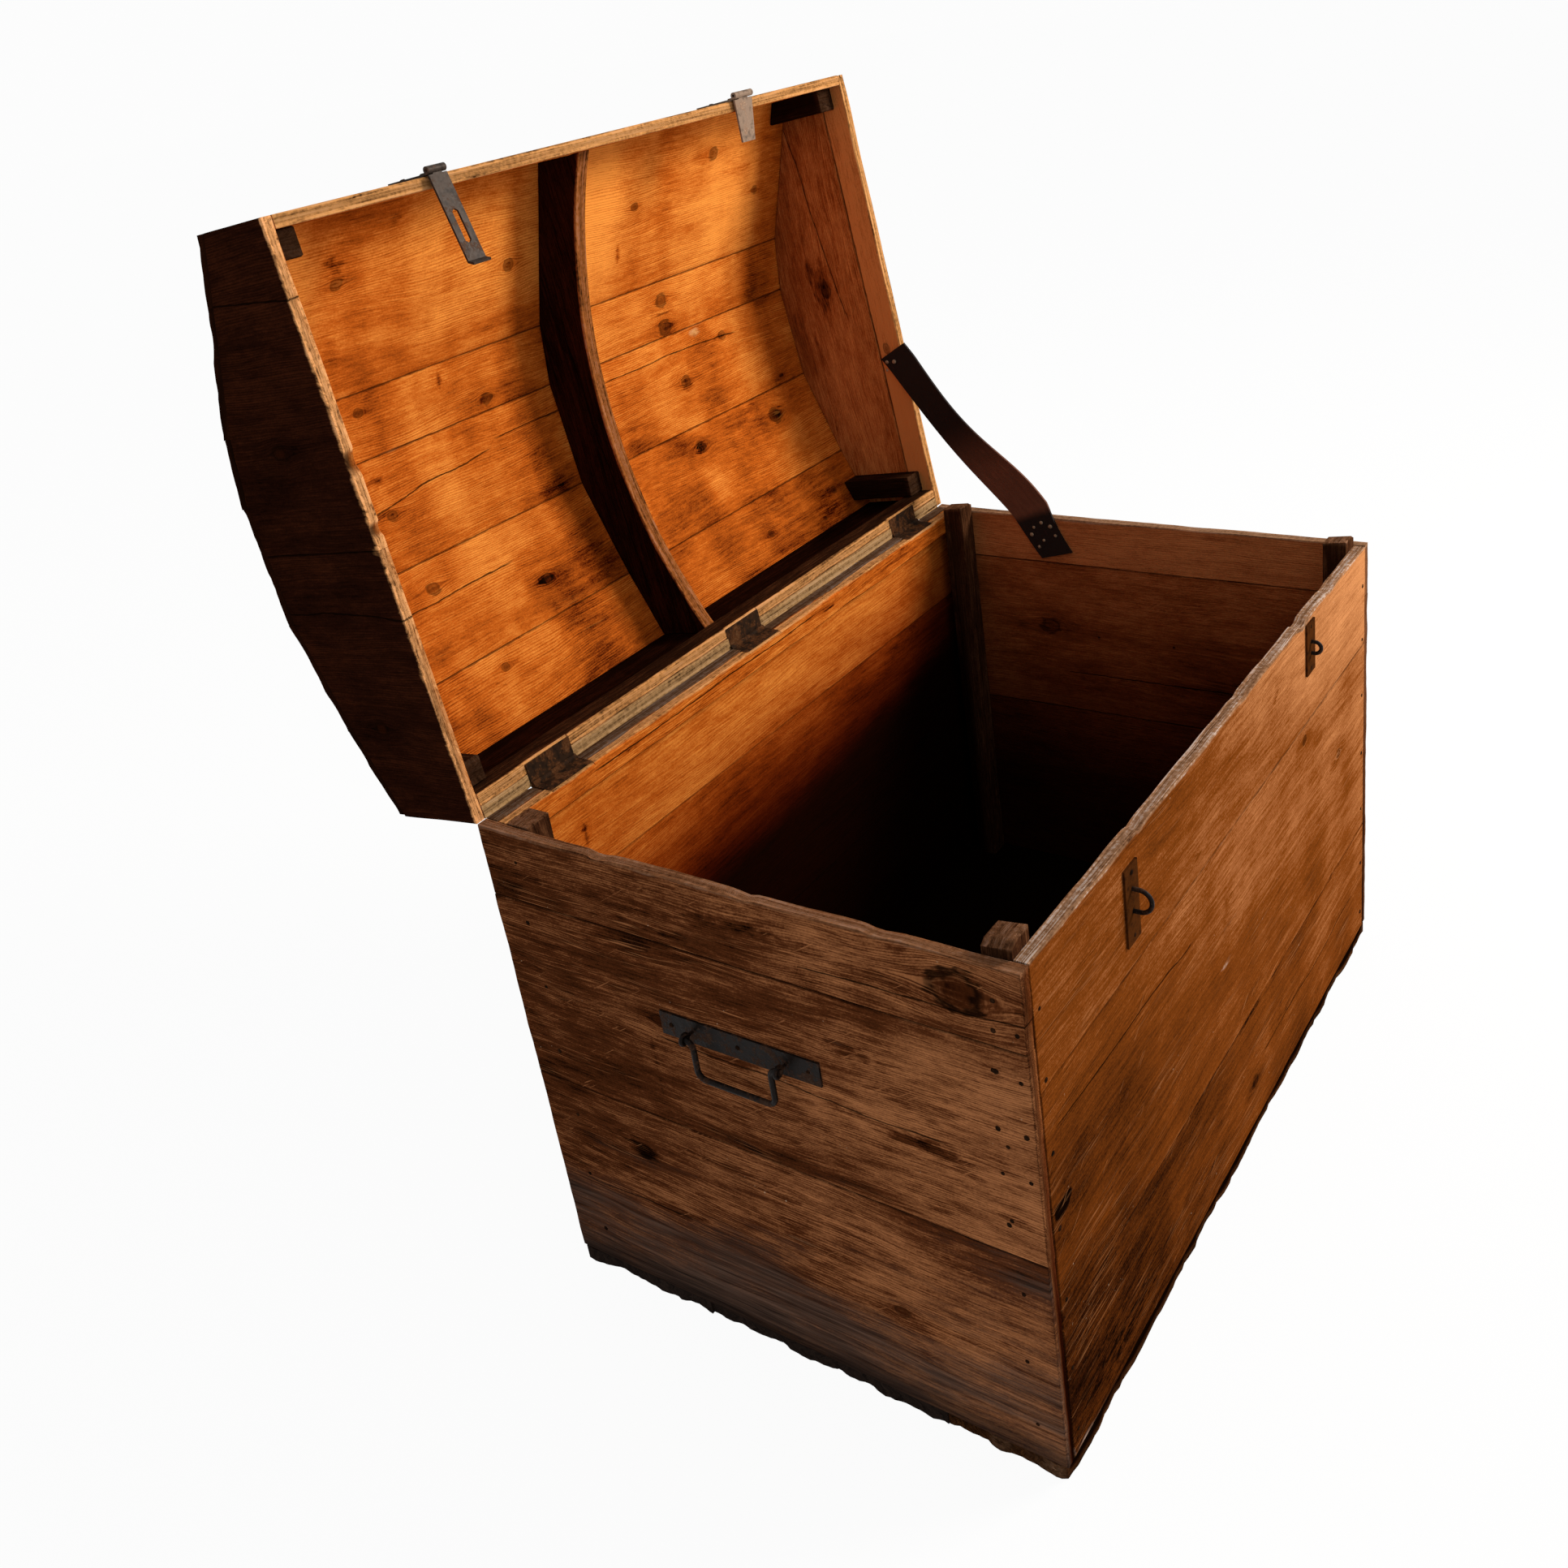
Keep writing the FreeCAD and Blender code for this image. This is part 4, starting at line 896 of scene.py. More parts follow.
def wall(name, node, spot, span, seams, material, *, seed, rim_loss, knots=(), rim_bites=(),
         tones=(0, 0, 0), hinged=False, rim_worn=0.9, ends_worn=0.0, **marks):
    """Three boards of a wall, from the rim down, with their two seams so far below the rim."""
    tops = (0.0, *seams, WALL_HIGH)
    for level, (top, low) in enumerate(zip(tops, tops[1:])):
        board("%s_%d" % (name, level + 1), spot, span, (-low, -top), BOARD, "chest",
              ["%s_%s" % (node, LEVELS[level])], material, seed=seed + level * 7,
              sides=wall_edges(level, top, low, seed, rim_loss, rim_bites, hinged),
              knots=[knot for knot in knots if -low < knot[1] <= -top], tone=tones[level],
              extra=LEAF_LINES if hinged else (), round_edge=SHARP_EDGE if hinged else ROUND_EDGE,
              rubbed=(ends_worn, ends_worn, 0.0, 0.0 if level else rim_worn), **marks)


# %% Front and back boards
wall("front_board", "front_board", lambda u, v, w: chest_spot(u, DEEP - BOARD + w, v),
     BETWEEN_ENDS, (167.0, 503.0), FINISH["front"], seed=11, rim_loss=3.5,
     knots=[(880, -190, 7), (1043, -298, 8), (645, -635, 9)],
     # The first dark mark is a knot hole. The dark inside it is painted shade.
     dark=[(45, -340, 17, 9, 2.4), (355, -85, 6, 5, 1.2), (450, -140, 60, 14, 0.6),
           (620, -505, 110, 7, 0.5), (1000, -505, 230, 7, 0.4), (120, -620, 120, 60, 0.25),
           (930, -60, 90, 24, 0.35), (420, -330, 120, 20, 0.35), (24, -350, 8, 300, 0.35),
           (560, -270, 30, 70, 0.45), (700, -600, 300, 60, 0.4), (250, -660, 200, 40, 0.4),
           (700, -120, 60, 16, 0.4), (760, -60, 30, 40, 0.4)],
     pale=[(545, -50, 40, 12, 0.5), (620, -75, 50, 9, 0.45), (215, -325, 34, 10, 0.5),
           (590, -305, 60, 8, 0.55), (545, -358, 34, 9, 0.5), (870, -225, 50, 16, 0.45),
           (1105, -55, 34, 12, 0.5), (585, -220, 8, 45, 0.45), (545, -255, 6, 75, 0.4),
           (50, -705, 60, 10, 0.5), (880, -4, 30, 10, 0.8)],
     cracks=[(60, 420, -230, -0.05, 3), (700, 1100, -610, 0.0, 4)],
     rim_bites=[(880, 16, 5), (640, 12, 3), (1010, 22, 3), (300, 14, 3)],
     tones=(0.0, -0.08, -0.1))
wall("back_board", "back_board",
     lambda u, v, w: chest_spot(u, BOARD - w, v - barrel_seat(u, v, w)),
     BETWEEN_ENDS, (164.0, 470.0), FINISH["back"], seed=41, rim_loss=1.2,
     knots=[(250, -360, 9), (1010, -400, 9)],
     dark=[(160, -100, 12, 24, 0.9), (700, -52, 160, 8, 0.3), (1120, -60, 60, 40, 0.35)],
     hinged=True, tones=(0.06, -0.02, -0.1), rim_worn=1.0)

# %% End boards
wall("left_end", "left_end_board", lambda u, v, w: chest_spot(BOARD - w, u, v), (0.0, DEEP),
     (103.0, 391.0), FINISH["end"], seed=61, rim_loss=3.0,
     knots=[(690, -44, 26), (250, -225, 8), (560, -560, 8)],
     dark=[(690, -44, 46, 30, 0.7), (408, -44, 60, 18, 0.7), (225, -85, 170, 8, 0.6),
           (564, -176, 60, 22, 0.6), (625, -275, 60, 14, 0.7), (174, -464, 25, 20, 0.8),
           (708, -536, 40, 20, 0.6), (226, -270, 5, 20, 1.3), (236, -302, 5, 20, 1.3),
           (235, -345, 5, 28, 1.3), (420, -250, 200, 40, 0.3), (200, -520, 160, 60, 0.35),
           (480, -640, 220, 50, 0.3), (60, -200, 60, 160, 0.3), (300, -60, 90, 30, 0.4),
           (120, -430, 60, 40, 0.4), (360, -420, 120, 14, 0.4), (640, -440, 90, 24, 0.45)],
     pale=[(420, -509, 36, 3, 0.8), (537, -531, 40, 3, 0.8), (685, -600, 90, 60, 0.3),
           (560, -160, 120, 16, 0.3), (330, -700, 400, 12, 0.55), (640, -340, 100, 30, 0.3)],
     cracks=[(500, 768, -73, 0.02, 2), (260, 640, -250, -0.03, 3), (60, 330, -560, 0.02, 3)],
     rim_bites=[(200, 20, 3), (420, 14, 3), (600, 18, 3)], tones=(0.1, 0.16, 0.16),
     rim_worn=0.75, soft=[(768, -354, 1.2, 900, 0.3)])
wall("right_end", "right_end_board",
     lambda u, v, w: chest_spot(WIDE - BOARD + w, u, v), (0.0, DEEP),
     (87.0, 374.0), FINISH["right_end"], seed=81, rim_loss=2.5, knots=[(213, -209, 14)],
     dark=[(213, -209, 30, 18, 0.5), (560, -130, 60, 16, 0.3), (290, -300, 120, 30, 0.4)],
     cracks=[(260, 560, -300, 0.0, 3)], tones=(0.26, 0.04, 0.0), ends_worn=0.3)
print(len(BOARDS), "boards so far")

# %% [markdown]
# ## The bottom
# The bottom boards have stood on damp stone. Their ends are rotten and ragged, so the two end
# curves of each board eat far into it.

# %% Bottom boards
BOTTOM_SEAMS = (0.0, 231.0, 435.0, 602.0, DEEP)
for number, (back, front) in enumerate(zip(BOTTOM_SEAMS, BOTTOM_SEAMS[1:]), start=1):
    loss = 5.0 if number in (1, 4) else 0.6
    board("bottom_%d" % number,
          lambda u, v, w: chest_spot(u, v, -WALL_HIGH - w), (0.0, WIDE), (back, front),
          BOTTOM_BOARD, "chest", ["bottom_board_%d" % number],
          FINISH["sill" if number == 4 else "bottom"], seed=90 + number * 5, cell=7.0,
          ends=(straight(0.0, 100 + number, -9.0, 34.0), straight(WIDE, 110 + number, 9.0, 34.0)),
          sides=(straight(back, 120 + number, -loss if number == 1 else -0.1, 40.0),
                 straight(front - 0.1, 130 + number, loss if number == 4 else 0.1, 40.0)),
          round_edge=3.5, rubbed=(0.45, 0.45, 0.0, 0.0), outer_ends=True,
          soft=[(0, back, 4, 900, 0.5), (WIDE, back, 4, 900, 0.5)])
print(len(BOARDS), "boards with the bottom")

# %% [markdown]
# ## Posts and hinge rail
# A square post stands in each corner and the walls are nailed to it. Three of them stick up above
# the rim and their tops are bevelled to guide the lid. The fourth was sawn off. The rail along the
# back takes the hinge screws.

# %% Posts
POST_RISE = 18.0
LEFT_POST = BOARD
RIGHT_POST = WIDE - BOARD - POST_WIDE
FRONT_POST = DEEP - BOARD - POST_DEEP
BACK_POST = 2 * BOARD
POSTS = (("front_left", LEFT_POST, FRONT_POST, POST_RISE),
         ("front_right", RIGHT_POST, FRONT_POST, POST_RISE),
         ("back_left", LEFT_POST, BACK_POST, 2.0),
         ("back_right", RIGHT_POST, BACK_POST, POST_RISE))


def post(corner, x, back, rise, seed):
    """A corner post with its grain upright, bevelled at the top towards its outer side and back."""
    def bevelled(u, v, w):
        """Lowers the top at the side next to the end board, and a little towards the back."""
        step_in = v if x == LEFT_POST else POST_WIDE - v
        outer = np.clip((10 - step_in) / 8, 0, 1)
        rear = np.clip(1 - w / POST_DEEP, 0, 1)
        near = np.clip((u - (rise - 12)) / 12, 0, 1)
        share = min(1.0, rise / POST_RISE)
        return chest_spot(x + v, back + w, u - share * near * (6 * outer + 5 * rear))

    board("post_" + corner, bevelled, (-WALL_HIGH, rise), (0.0, POST_WIDE), POST_DEEP, "chest",
          ["corner_post_" + corner], FINISH["post"], seed=seed, cell=5.0, round_edge=1.6,
          ends=(straight(-WALL_HIGH, seed, 0.0), straight(rise, seed, 1.2, 30.0)),
          dark=[(-600, 20, 300, 60, 0.5)], rubbed=(0.0, 0.6, 0.0, 0.0))


for seed, (corner, x, back, rise) in enumerate(POSTS, start=141):
    post(corner, x, back, rise, seed)

# %% Hinge rail of the chest
board("hinge_rail", lambda u, v, w: chest_spot(u, 2 * BOARD - w, v), BETWEEN_ENDS, (-36.0, 0.0),
      BOARD, "chest", ["chest_hinge_batten"], FINISH["rail"], seed=151, cell=6.0, round_edge=5.0,
      sides=(straight(-36.0, 152, -1.0), mortised(straight(0.0, 153, 1.5, 60.0), -LEAF_DEEP)),
      extra=LEAF_LINES, rubbed=(0.0, 0.0, 0.0, 0.9),
      dark=[(250, -16, 40, 5, 1.0), (760, -18, 30, 4, 0.9), (1000, -8, 30, 5, 0.9),
            (430, -30, 500, 3, 0.4), (146, 0, 44, 6, 0.8), (586, 0, 44, 6, 0.8)],
      cracks=[(200, 700, -14, 0.004, 1.5)])
print(len(BOARDS), "boards so far")

# %% [markdown]
# ## The lid
# Five boards make the dome. Their grain runs with the length of the chest, and the dark outside has
# weathered while the inside kept its orange. The left end is two upright boards, the right end a
# low board with a domed one above it.

# %% Marks of the top boards
TOP_KNOTS = {
    1: [(265, 95, 5), (1110, 68, 6), (900, 60, 5)],
    2: [(410, 174, 8), (220, 237, 9), (845, 241, 9), (1060, 232, 12)],
    3: [(205, 352, 7), (865, 352, 9), (1120, 290, 4), (990, 400, 7)],
    4: [(430, 453, 8), (850, 450, 12), (850, 495, 10), (200, 500, 6)],
    5: [(498, 627, 8), (185, 670, 7), (783, 653, 6), (985, 699, 9), (1110, 621, 6)]}
TOP_DARK = [(185, 690, 26, 40, 0.75), (300, 727, 40, 14, 0.68), (200, 402, 30, 14, 0.68),
            (430, 453, 50, 20, 0.52), (348, 502, 6, 18, 0.83), (440, 510, 40, 8, 0.6),
            (410, 174, 45, 18, 0.52), (430, 105, 30, 7, 0.6), (300, 147, 70, 6, 0.6),
            (783, 653, 50, 14, 0.45), (985, 690, 70, 16, 0.45), (1050, 662, 130, 8, 0.75),
            (1110, 621, 40, 6, 0.6), (743, 589, 5, 22, 0.83), (905, 612, 4, 14, 0.68),
            (850, 495, 40, 22, 0.52), (850, 434, 60, 18, 0.52), (990, 400, 50, 10, 0.68),
            (865, 352, 26, 24, 0.6), (845, 241, 30, 20, 0.6), (1060, 232, 60, 30, 0.52),
            (740, 251, 40, 14, 0.45), (900, 158, 60, 6, 0.52), (700, 150, 90, 6, 0.45),
            (200, 355, 40, 10, 0.75)]
# The first four soft marks are painted shade: along the rail, left of the rib and beside the right
# end.
TOP_SOFT = [(330, 20, 500, 24, 0.2), (900, 20, 400, 24, 0.2), (500, 260, 50, 200, 0.35),
            (1130, 350, 50, 300, 0.4), (200, 700, 60, 50, 0.3), (690, 640, 40, 200, -0.25),
            (300, 560, 60, 120, -0.25), (1000, 640, 60, 90, -0.25), (420, 130, 30, 110, 0.2)]
TOP_PALE = [(920, 424, 22, 10, 0.9), (240, 440, 12, 8, 0.6)]
TOP_CRACKS = [(176, 390, 362, 0.10, 4), (440, 562, 392, 0.02, 2), (165, 350, 219, 0.0, 2),
              (690, 1010, 404, -0.03, 7)]
# The first top board, next to the rail, is toned darker as painted shade.
TOP_TONES = (-0.08, -0.02, -0.03, -0.04, 0.02)


# %% Top boards
def top_spot(u, v, w):
    """A top board follows the dome and its joints are upright."""
    return lid_spot(u, v, under(v) + w)


def weathered(u, v):
    """The outer face is worn unevenly, most of all near the left end."""
    near_end = 0.4 + 0.6 * np.exp(-u / 90)
    return 0.3 + 0 * u, near_end * rough(v + 40 * waves(u, 200, 3), 5.0, 45.0, 9)


for number, (back, front) in enumerate(zip(DOME_BACK, DOME_BACK[1:]), start=1):
    board("lid_top_%d" % number, top_spot, (0.0, WIDE), (back, front), TOP_BOARD, "lid",
          ["lid_top_board_%d" % number], FINISH["lid"], seed=170 + number * 3, cell=7.5,
          ends=(straight(0.0, 160 + number, -3.0, 60.0), straight(WIDE, 165 + number, 2.0, 60.0)),
          sides=(straight(back, 160 + number, -0.3, 60.0), straight(front - 0.1, 190, 0.3, 60.0)),
          knots=TOP_KNOTS[number], dark=TOP_DARK, pale=TOP_PALE, cracks=TOP_CRACKS,
          soft=TOP_SOFT, tone=TOP_TONES[number - 1], hollow=weathered, outer_ends=True,
          outer_sides=(number == 1, number == 5), round_edge=1.6)

# %% Front and back boards of the lid
LID_SPAN = (LID_BOARD, WIDE - LID_BOARD)
FRONT_HIGH = float(under(DEEP))
BACK_HIGH = float(under(0.0))


def lid_front_spot(u, v, w):
    """Leans its top edge to follow the dome through the board."""
    back = DEEP - LID_BOARD + w
    return lid_spot(u, back, v / FRONT_HIGH * under(back))


def lid_back_spot(u, v, w):
    """The same at the back, a little thicker and with seats for the hinge barrels."""
    high = v / BACK_HIGH * under(LID_BOARD - w)
    return lid_spot(u, LID_BOARD - w * 1.09, high + barrel_seat(u, v, w))


board("lid_front", lid_front_spot, LID_SPAN, (0.0, FRONT_HIGH), LID_BOARD, "lid",
      ["lid_front_board"], FINISH["lid"], seed=201, rubbed=(0.0, 0.0, 0.9, 0.0),
      sides=(straight(0.0, 202, -2.0, 80.0), straight(FRONT_HIGH, 203, 0.01)),
      dark=[(480, 30, 60, 20, 0.5)], cracks=[(100, 520, 60, 0.0, 3)])
board("lid_back", lid_back_spot, LID_SPAN, (0.0, BACK_HIGH), LID_BOARD, "lid",
      ["lid_back_board"], FINISH["lid_back"], seed=211, rubbed=(0.0, 0.0, 1.0, 0.0),
      sides=(mortised(straight(-RIM_MEETS, 212, -0.3), LEAF_DEEP),
             straight(BACK_HIGH, 213, 0.01)),
      extra=LEAF_LINES, round_edge=SHARP_EDGE)


# %% End boards of the lid
def dome_joint(at):
    """An end board's or the rib's upper edge, just under the top boards."""
    return under(at) - 0.05


def lid_left(part, back, front, seed):
    """One of the two upright boards of the lid's left end."""
    rim = kept_at_back(straight(0.0, seed + 1, 2.0, 130.0, ((480, 14, 5), (395, 10, 4))))
    beyond = 0.8 if back == 0.0 else 0.0
    board("lid_left_" + part, lambda u, v, w: lid_spot(LID_BOARD - w, v, u), (0.0, 200.0),
          (back, front), LID_BOARD, "lid", ["lid_left_end_" + part], FINISH["lid_end"],
          seed=seed, cell=7.0, ends=(lambda v: -rim(v), dome_joint),
          sides=(straight(back - beyond, seed, -0.2, 60.0), straight(front, seed + 4, 0.2, 60.0)),
          rubbed=(0.85, 0.0, 0.0, 0.0), knots=[(120, back + 130, 11)],
          outer_sides=(back == 0.0, front == DEEP), cracks=[(0, 220, front - 90, 0.05, 4)])


def lid_right_spot(u, v, w):
    """The lid's right end has its grain running from back to front."""
    return lid_spot(WIDE - LID_BOARD + w, u, v)


lid_left("rear", 0.0, 370.6, 221)
lid_left("front", 371.0, DEEP, 231)
board("lid_right_low", lid_right_spot, (0.0, DEEP), (0.0, 46.6), LID_BOARD, "lid",
      ["lid_right_end_low"], FINISH["lid_right"], seed=241, tone=0.62,
      sides=(straight(0.0, 242, -1.5), straight(46.6, 243, 0.5)),
      rubbed=(0.0, 0.0, 0.9, 0.0), knots=[(300, 30, 7)], outer_ends=True)
board("lid_right_high", lid_right_spot, (0.0, DEEP), (47.0, 200.0), LID_BOARD, "lid",
      ["lid_right_end_high"], FINISH["lid_right"], seed=251, tone=0.24,
      sides=(straight(47.0, 252, -0.5), dome_joint), knots=[(420, 130, 10)],
      dark=[(420, 150, 120, 40, 0.6), (620, 120, 60, 30, 0.4), (200, 170, 90, 40, 0.3)],
      # The pale streak at 560 is a painted sheen. The soft marks are painted light towards the back
      # and painted shade high towards the front.
      pale=[(330, 90, 60, 16, 0.35), (560, 120, 60, 8, 0.4)],
      soft=[(200, 100, 170, 60, -0.2), (560, 170, 200, 40, 0.12)],
      cracks=[(380, 700, 100, 0.12, 4)], outer_ends=True)

# %% Rib and rail of the lid
RIB_X = 562.0
RIB_THICK = 22.0
RIB_ARC = ((752.0, 34.0), (400.0, 136.0), (16.0, 48.0))
RAIL_THICK = 17.0
RAIL_HIGH = 45.0


def arc_through(a, b, c):
    """Many points of the circle through three, from c to a, as two rows."""
    (ax, ay), (bx, by), (cx, cy) = a, b, c
    twice = 2 * (ax * (by - cy) + bx * (cy - ay) + cx * (ay - by))
    sa, sb, sc = ax * ax + ay * ay, bx * bx + by * by, cx * cx + cy * cy
    x = (sa * (by - cy) + sb * (cy - ay) + sc * (ay - by)) / twice
    y = (sa * (cx - bx) + sb * (ax - cx) + sc * (bx - ax)) / twice
    radius = math.hypot(ax - x, ay - y)
    across = np.linspace(cx, ax, 90)
    return across, y + np.sqrt(radius ** 2 - (across - x) ** 2)


def rib_foot(at):
    """The rib's lower edge, an arc worn a little."""
    return np.interp(at, *arc_through(*RIB_ARC)) + rough(at, 1.2, 120, 262)


board("lid_rib", lambda u, v, w: lid_spot(RIB_X + w, u, v), (LID_BOARD, DEEP - LID_BOARD),
      (60.0, 180.0), RIB_THICK, "lid", ["lid_rib"], FINISH["rib"], seed=261, cell=7.0,
      round_edge=1.8, sides=(rib_foot, dome_joint), rubbed=(0.0, 0.0, 1.3, 0.0),
      cracks=[(100, 500, 150, 0.05, 3)], tone=0.15)
board("lid_rail", lambda u, v, w: lid_spot(u, LID_BOARD + RAIL_THICK - w, v), LID_SPAN,
      (0.0, RAIL_HIGH), RAIL_THICK, "lid", ["lid_hinge_batten"], FINISH["lid_rail"], seed=271,
      cell=7.0, round_edge=3.0,
      sides=(mortised(straight(0.0, 272, -1.2, 60.0), LEAF_DEEP), straight(RAIL_HIGH, 273, 1.0)),
      extra=LEAF_LINES, rubbed=(0.0, 0.0, 0.9, 0.0), dark=[(700, 20, 60, 14, 0.5)])

# %% Corner blocks of the lid
BLOCK_WIDE = 40.0
BLOCK_DEEP = 36.0
BLOCK_FOOT = 22.0
RIGHT_BLOCK = WIDE - LID_BOARD - BLOCK_WIDE
BLOCKS = (("front_left", LID_BOARD, 716.0), ("front_right", RIGHT_BLOCK, 716.0),
          ("back_left", LID_BOARD, 34.0), ("back_right", RIGHT_BLOCK, 34.0))


def block(corner, x, back, seed):
    """A corner block with its grain running up into the lid."""
    high = float(min(under(back), under(back + BLOCK_DEEP)))

    def shaped(u, v, w):
        """Stretches the block so that its top meets the sloping dome."""
        share = (u - BLOCK_FOOT) / (high - BLOCK_FOOT)
        rise = dome_joint(back + w) - BLOCK_FOOT
        return lid_spot(x + v, back + w, BLOCK_FOOT + share * rise)

    # The blocks' dark colours and lower tone are painted shade.
    board("lid_block_" + corner, shaped, (BLOCK_FOOT, high), (0.0, BLOCK_WIDE), BLOCK_DEEP,
          "lid", ["lid_corner_blocks"], FINISH["block"], seed=seed, cell=6.0, tone=-0.22,
          rubbed=(0.2, 0.0, 0.0, 0.0))


for seed, (corner, x, back) in enumerate(BLOCKS, start=281):
    block(corner, x, back, seed)
print(len(BOARDS), "boards in all")

# %% [markdown]
# ## Forged iron
# The handles, hasps, staples and hinges are wrought iron, nearly black, with brown rust and pale
# dust in patches. The frame's iron pieces have the right shapes, so they only need this finish.

# %% The iron finish
def iron(name, body_colour, rust_colour, dust_colour, rust=0.5, dust=0.2, rough_low=0.45,
         metal=0.0, shine=0.12):
    """Dark forged metal with rust and dust."""
    tree = Tree(name)
    at = tree.node("ShaderNodeTexCoord", {}, [], "Object")
    big = tree.noise(at, 4.0, 0.6, 45.0)
    small = tree.noise(at, 3.0, 0.6, 260.0)
    dents = tree.noise(at, 2.0, 0.5, 90.0)
    rusty = tree.step(big + (small - 0.5) * 0.5, 0.62 - rust * 0.2, 0.75 - rust * 0.15)
    dusty = tree.step(small + (big - 0.5) * 0.6, 0.56, 0.72) * dust
    base = tree.mix(rusty * 0.8, body_colour, rust_colour)
    base = tree.mix(dusty, base, dust_colour)
    base = tree.mix(tree.step(dents, 0.5, 0.25) * 0.6, base, colour(12, 10, 9))
    tree.set("Base Color", base)
    tree.set("Metallic", metal - rusty * metal)
    tree.set("Specular IOR Level", shine)
    tree.set("Roughness", rough_low + rusty * 0.35 + (small - 0.5) * 0.2)
    tree.bump(small * 0.3 + dents * 0.7 + rusty * 0.3, 0.0008, 0.7)
    return tree.material


# %% The chest's iron
IRON = iron("forged_iron", colour(25, 18, 15), colour(58, 37, 25), colour(80, 66, 56), rust=0.8,
            dust=0.35, rough_low=0.4, shine=0.06)
NAIL = iron("nail_iron", colour(34, 22, 15), colour(56, 34, 20), colour(62, 46, 36), rust=0.8,
            shine=0.0, rough_low=0.7)
BROWN_IRON = iron("rusty_iron", colour(44, 29, 19), colour(84, 50, 27), colour(116, 84, 58),
                  rust=0.9, dust=0.3, shine=0.03, rough_low=0.7)
WOODY_IRON = iron("painted_iron", colour(70, 37, 14), colour(44, 23, 10), colour(110, 66, 32),
                  rust=0.6, shine=0.0, rough_low=0.8)
DULL_IRON = iron("dull_iron", colour(58, 47, 40), colour(84, 54, 36), colour(112, 94, 82),
                 rust=0.6, dust=0.4, metal=0.2, rough_low=0.5)
PALE_IRON = iron("dusty_iron", colour(140, 116, 98), colour(132, 92, 66), colour(184, 160, 138),
                 dust=0.6, rough_low=0.6)
TACK = iron("tack_heads", colour(150, 128, 104), colour(110, 76, 50), colour(190, 170, 146),
            rust=0.4, dust=0.5, rough_low=0.4)
IRON_OF = {"hasp_left": DULL_IRON, "hasp_plate_left": DULL_IRON, "hasp_right": PALE_IRON,
           "hasp_plate_right": PALE_IRON, "staple_plate_left": WOODY_IRON,
           "staple_plate_right": WOODY_IRON, "chest_hinge_leaves": BROWN_IRON,
           "lid_hinge_leaves": BROWN_IRON, "hinge_pins": BROWN_IRON,
           "chest_hinge_screws": BROWN_IRON, "lid_hinge_screws": BROWN_IRON}
IRON_SLOTS = ("iron", "small_iron", "worn_iron")
forged = [entry["node"] for entry in frame["record"]["subparts"]
          if entry["material_slot"] in IRON_SLOTS and entry["node"] in frame["nodes"]]
for name in forged:
    for slot in frame["nodes"][name].material_slots:
        slot.material = IRON_OF.get(name, IRON)
print(len(forged), "iron pieces")

# %% [markdown]
# ## Leather stay
# A strap of harness leather stops the lid. It is nailed flat to both ends and bows a little in
# between. It is built as a strip of short steps across its width, because leather bends in one
# direction at a time.

# %% The leather finish
def leather(name):
    """Dry dark leather, rubbed brown in the middle of its length."""
    tree = Tree(name)
    along, across, through = tree.attribute("grain")
    at = tree.node("ShaderNodeTexCoord", {}, [], "Object")
    pores = tree.node("ShaderNodeTexVoronoi", {"feature": "DISTANCE_TO_EDGE"},
                      {"Vector": at, "Scale": 420.0})
    cloud = tree.noise(at, 4.0, 0.6, 14.0)
    scuff = tree.noise(tree.vector(along * 30.0, across * 200.0, through * 50.0), 3.0)
    worn = tree.step(along, 0.16, 0.30) * (1 - tree.step(along, 0.372, 0.392))
    amount = worn * (0.5 + scuff * 0.5) + tree.step(scuff + cloud * 0.6, 0.95, 1.2) * 0.3
    base = tree.mix(amount, colour(26, 17, 14), colour(116, 72, 54))
    tree.set("Base Color", base)
    tree.set("Roughness", 0.7 + (cloud - 0.5) * 0.3)
    tree.set("Specular IOR Level", 0.15)
    tree.bump(tree.step(pores, 0.0, 0.25) * 0.4 + scuff * 0.4, 0.0005, 0.8)
    return tree.material


LEATHER = leather("harness_leather")

# %% [markdown]
# ## Floor, light and camera
# A pale floor and a pale world light the chest from all sides, and one warm lamp gives it shape.
# The camera should see both as white, but they mustn't shine on the chest as white does. So they
# are brighter only for rays that the camera sees, itself, in a mirror or through glass.

# %% Floor and world
FLOOR_GREY = (0.86, 0.86, 0.86, 1.0)
FLOOR_GLOW = 0.95
FLOOR_HALF = 30
SKY_LIGHT = 0.5
SKY_SEEN = 0.975


def seen_rays(nodes, links):
    """A socket that is 1 for rays that the camera sees and 0 for those that only bring light."""
    paths = nodes.new("ShaderNodeLightPath")
    seen = paths.outputs["Is Camera Ray"]
    for kind in ("Is Glossy Ray", "Is Transmission Ray"):
        either = nodes.new("ShaderNodeMath")
        either.operation = "MAXIMUM"
        links.new(seen, either.inputs[0])
        links.new(paths.outputs[kind], either.inputs[1])
        seen = either.outputs[0]
    return seen


floor_tree = Tree("studio_floor")
floor_tree.set("Base Color", FLOOR_GREY)
floor_tree.set("Roughness", 0.9)
seen = Value(floor_tree, seen_rays(floor_tree.nodes, floor_tree.links))
glow = floor_tree.node("ShaderNodeEmission", {}, {"Color": (1, 1, 1, 1), "Strength": 1.0})
matt = Value(floor_tree, floor_tree.shader.outputs[0])
blend = floor_tree.node("ShaderNodeMixShader", {}, [seen * FLOOR_GLOW, matt, glow])
floor_tree.put(floor_tree.nodes["Material Output"].inputs["Surface"], blend)
floor_corners = [(x * FLOOR_HALF, y * FLOOR_HALF, 0)
                 for x, y in ((-1, -1), (1, -1), (1, 1), (-1, 1))]
floor_mesh = new_mesh("floor", floor_corners, [(0, 1, 2, 3)])
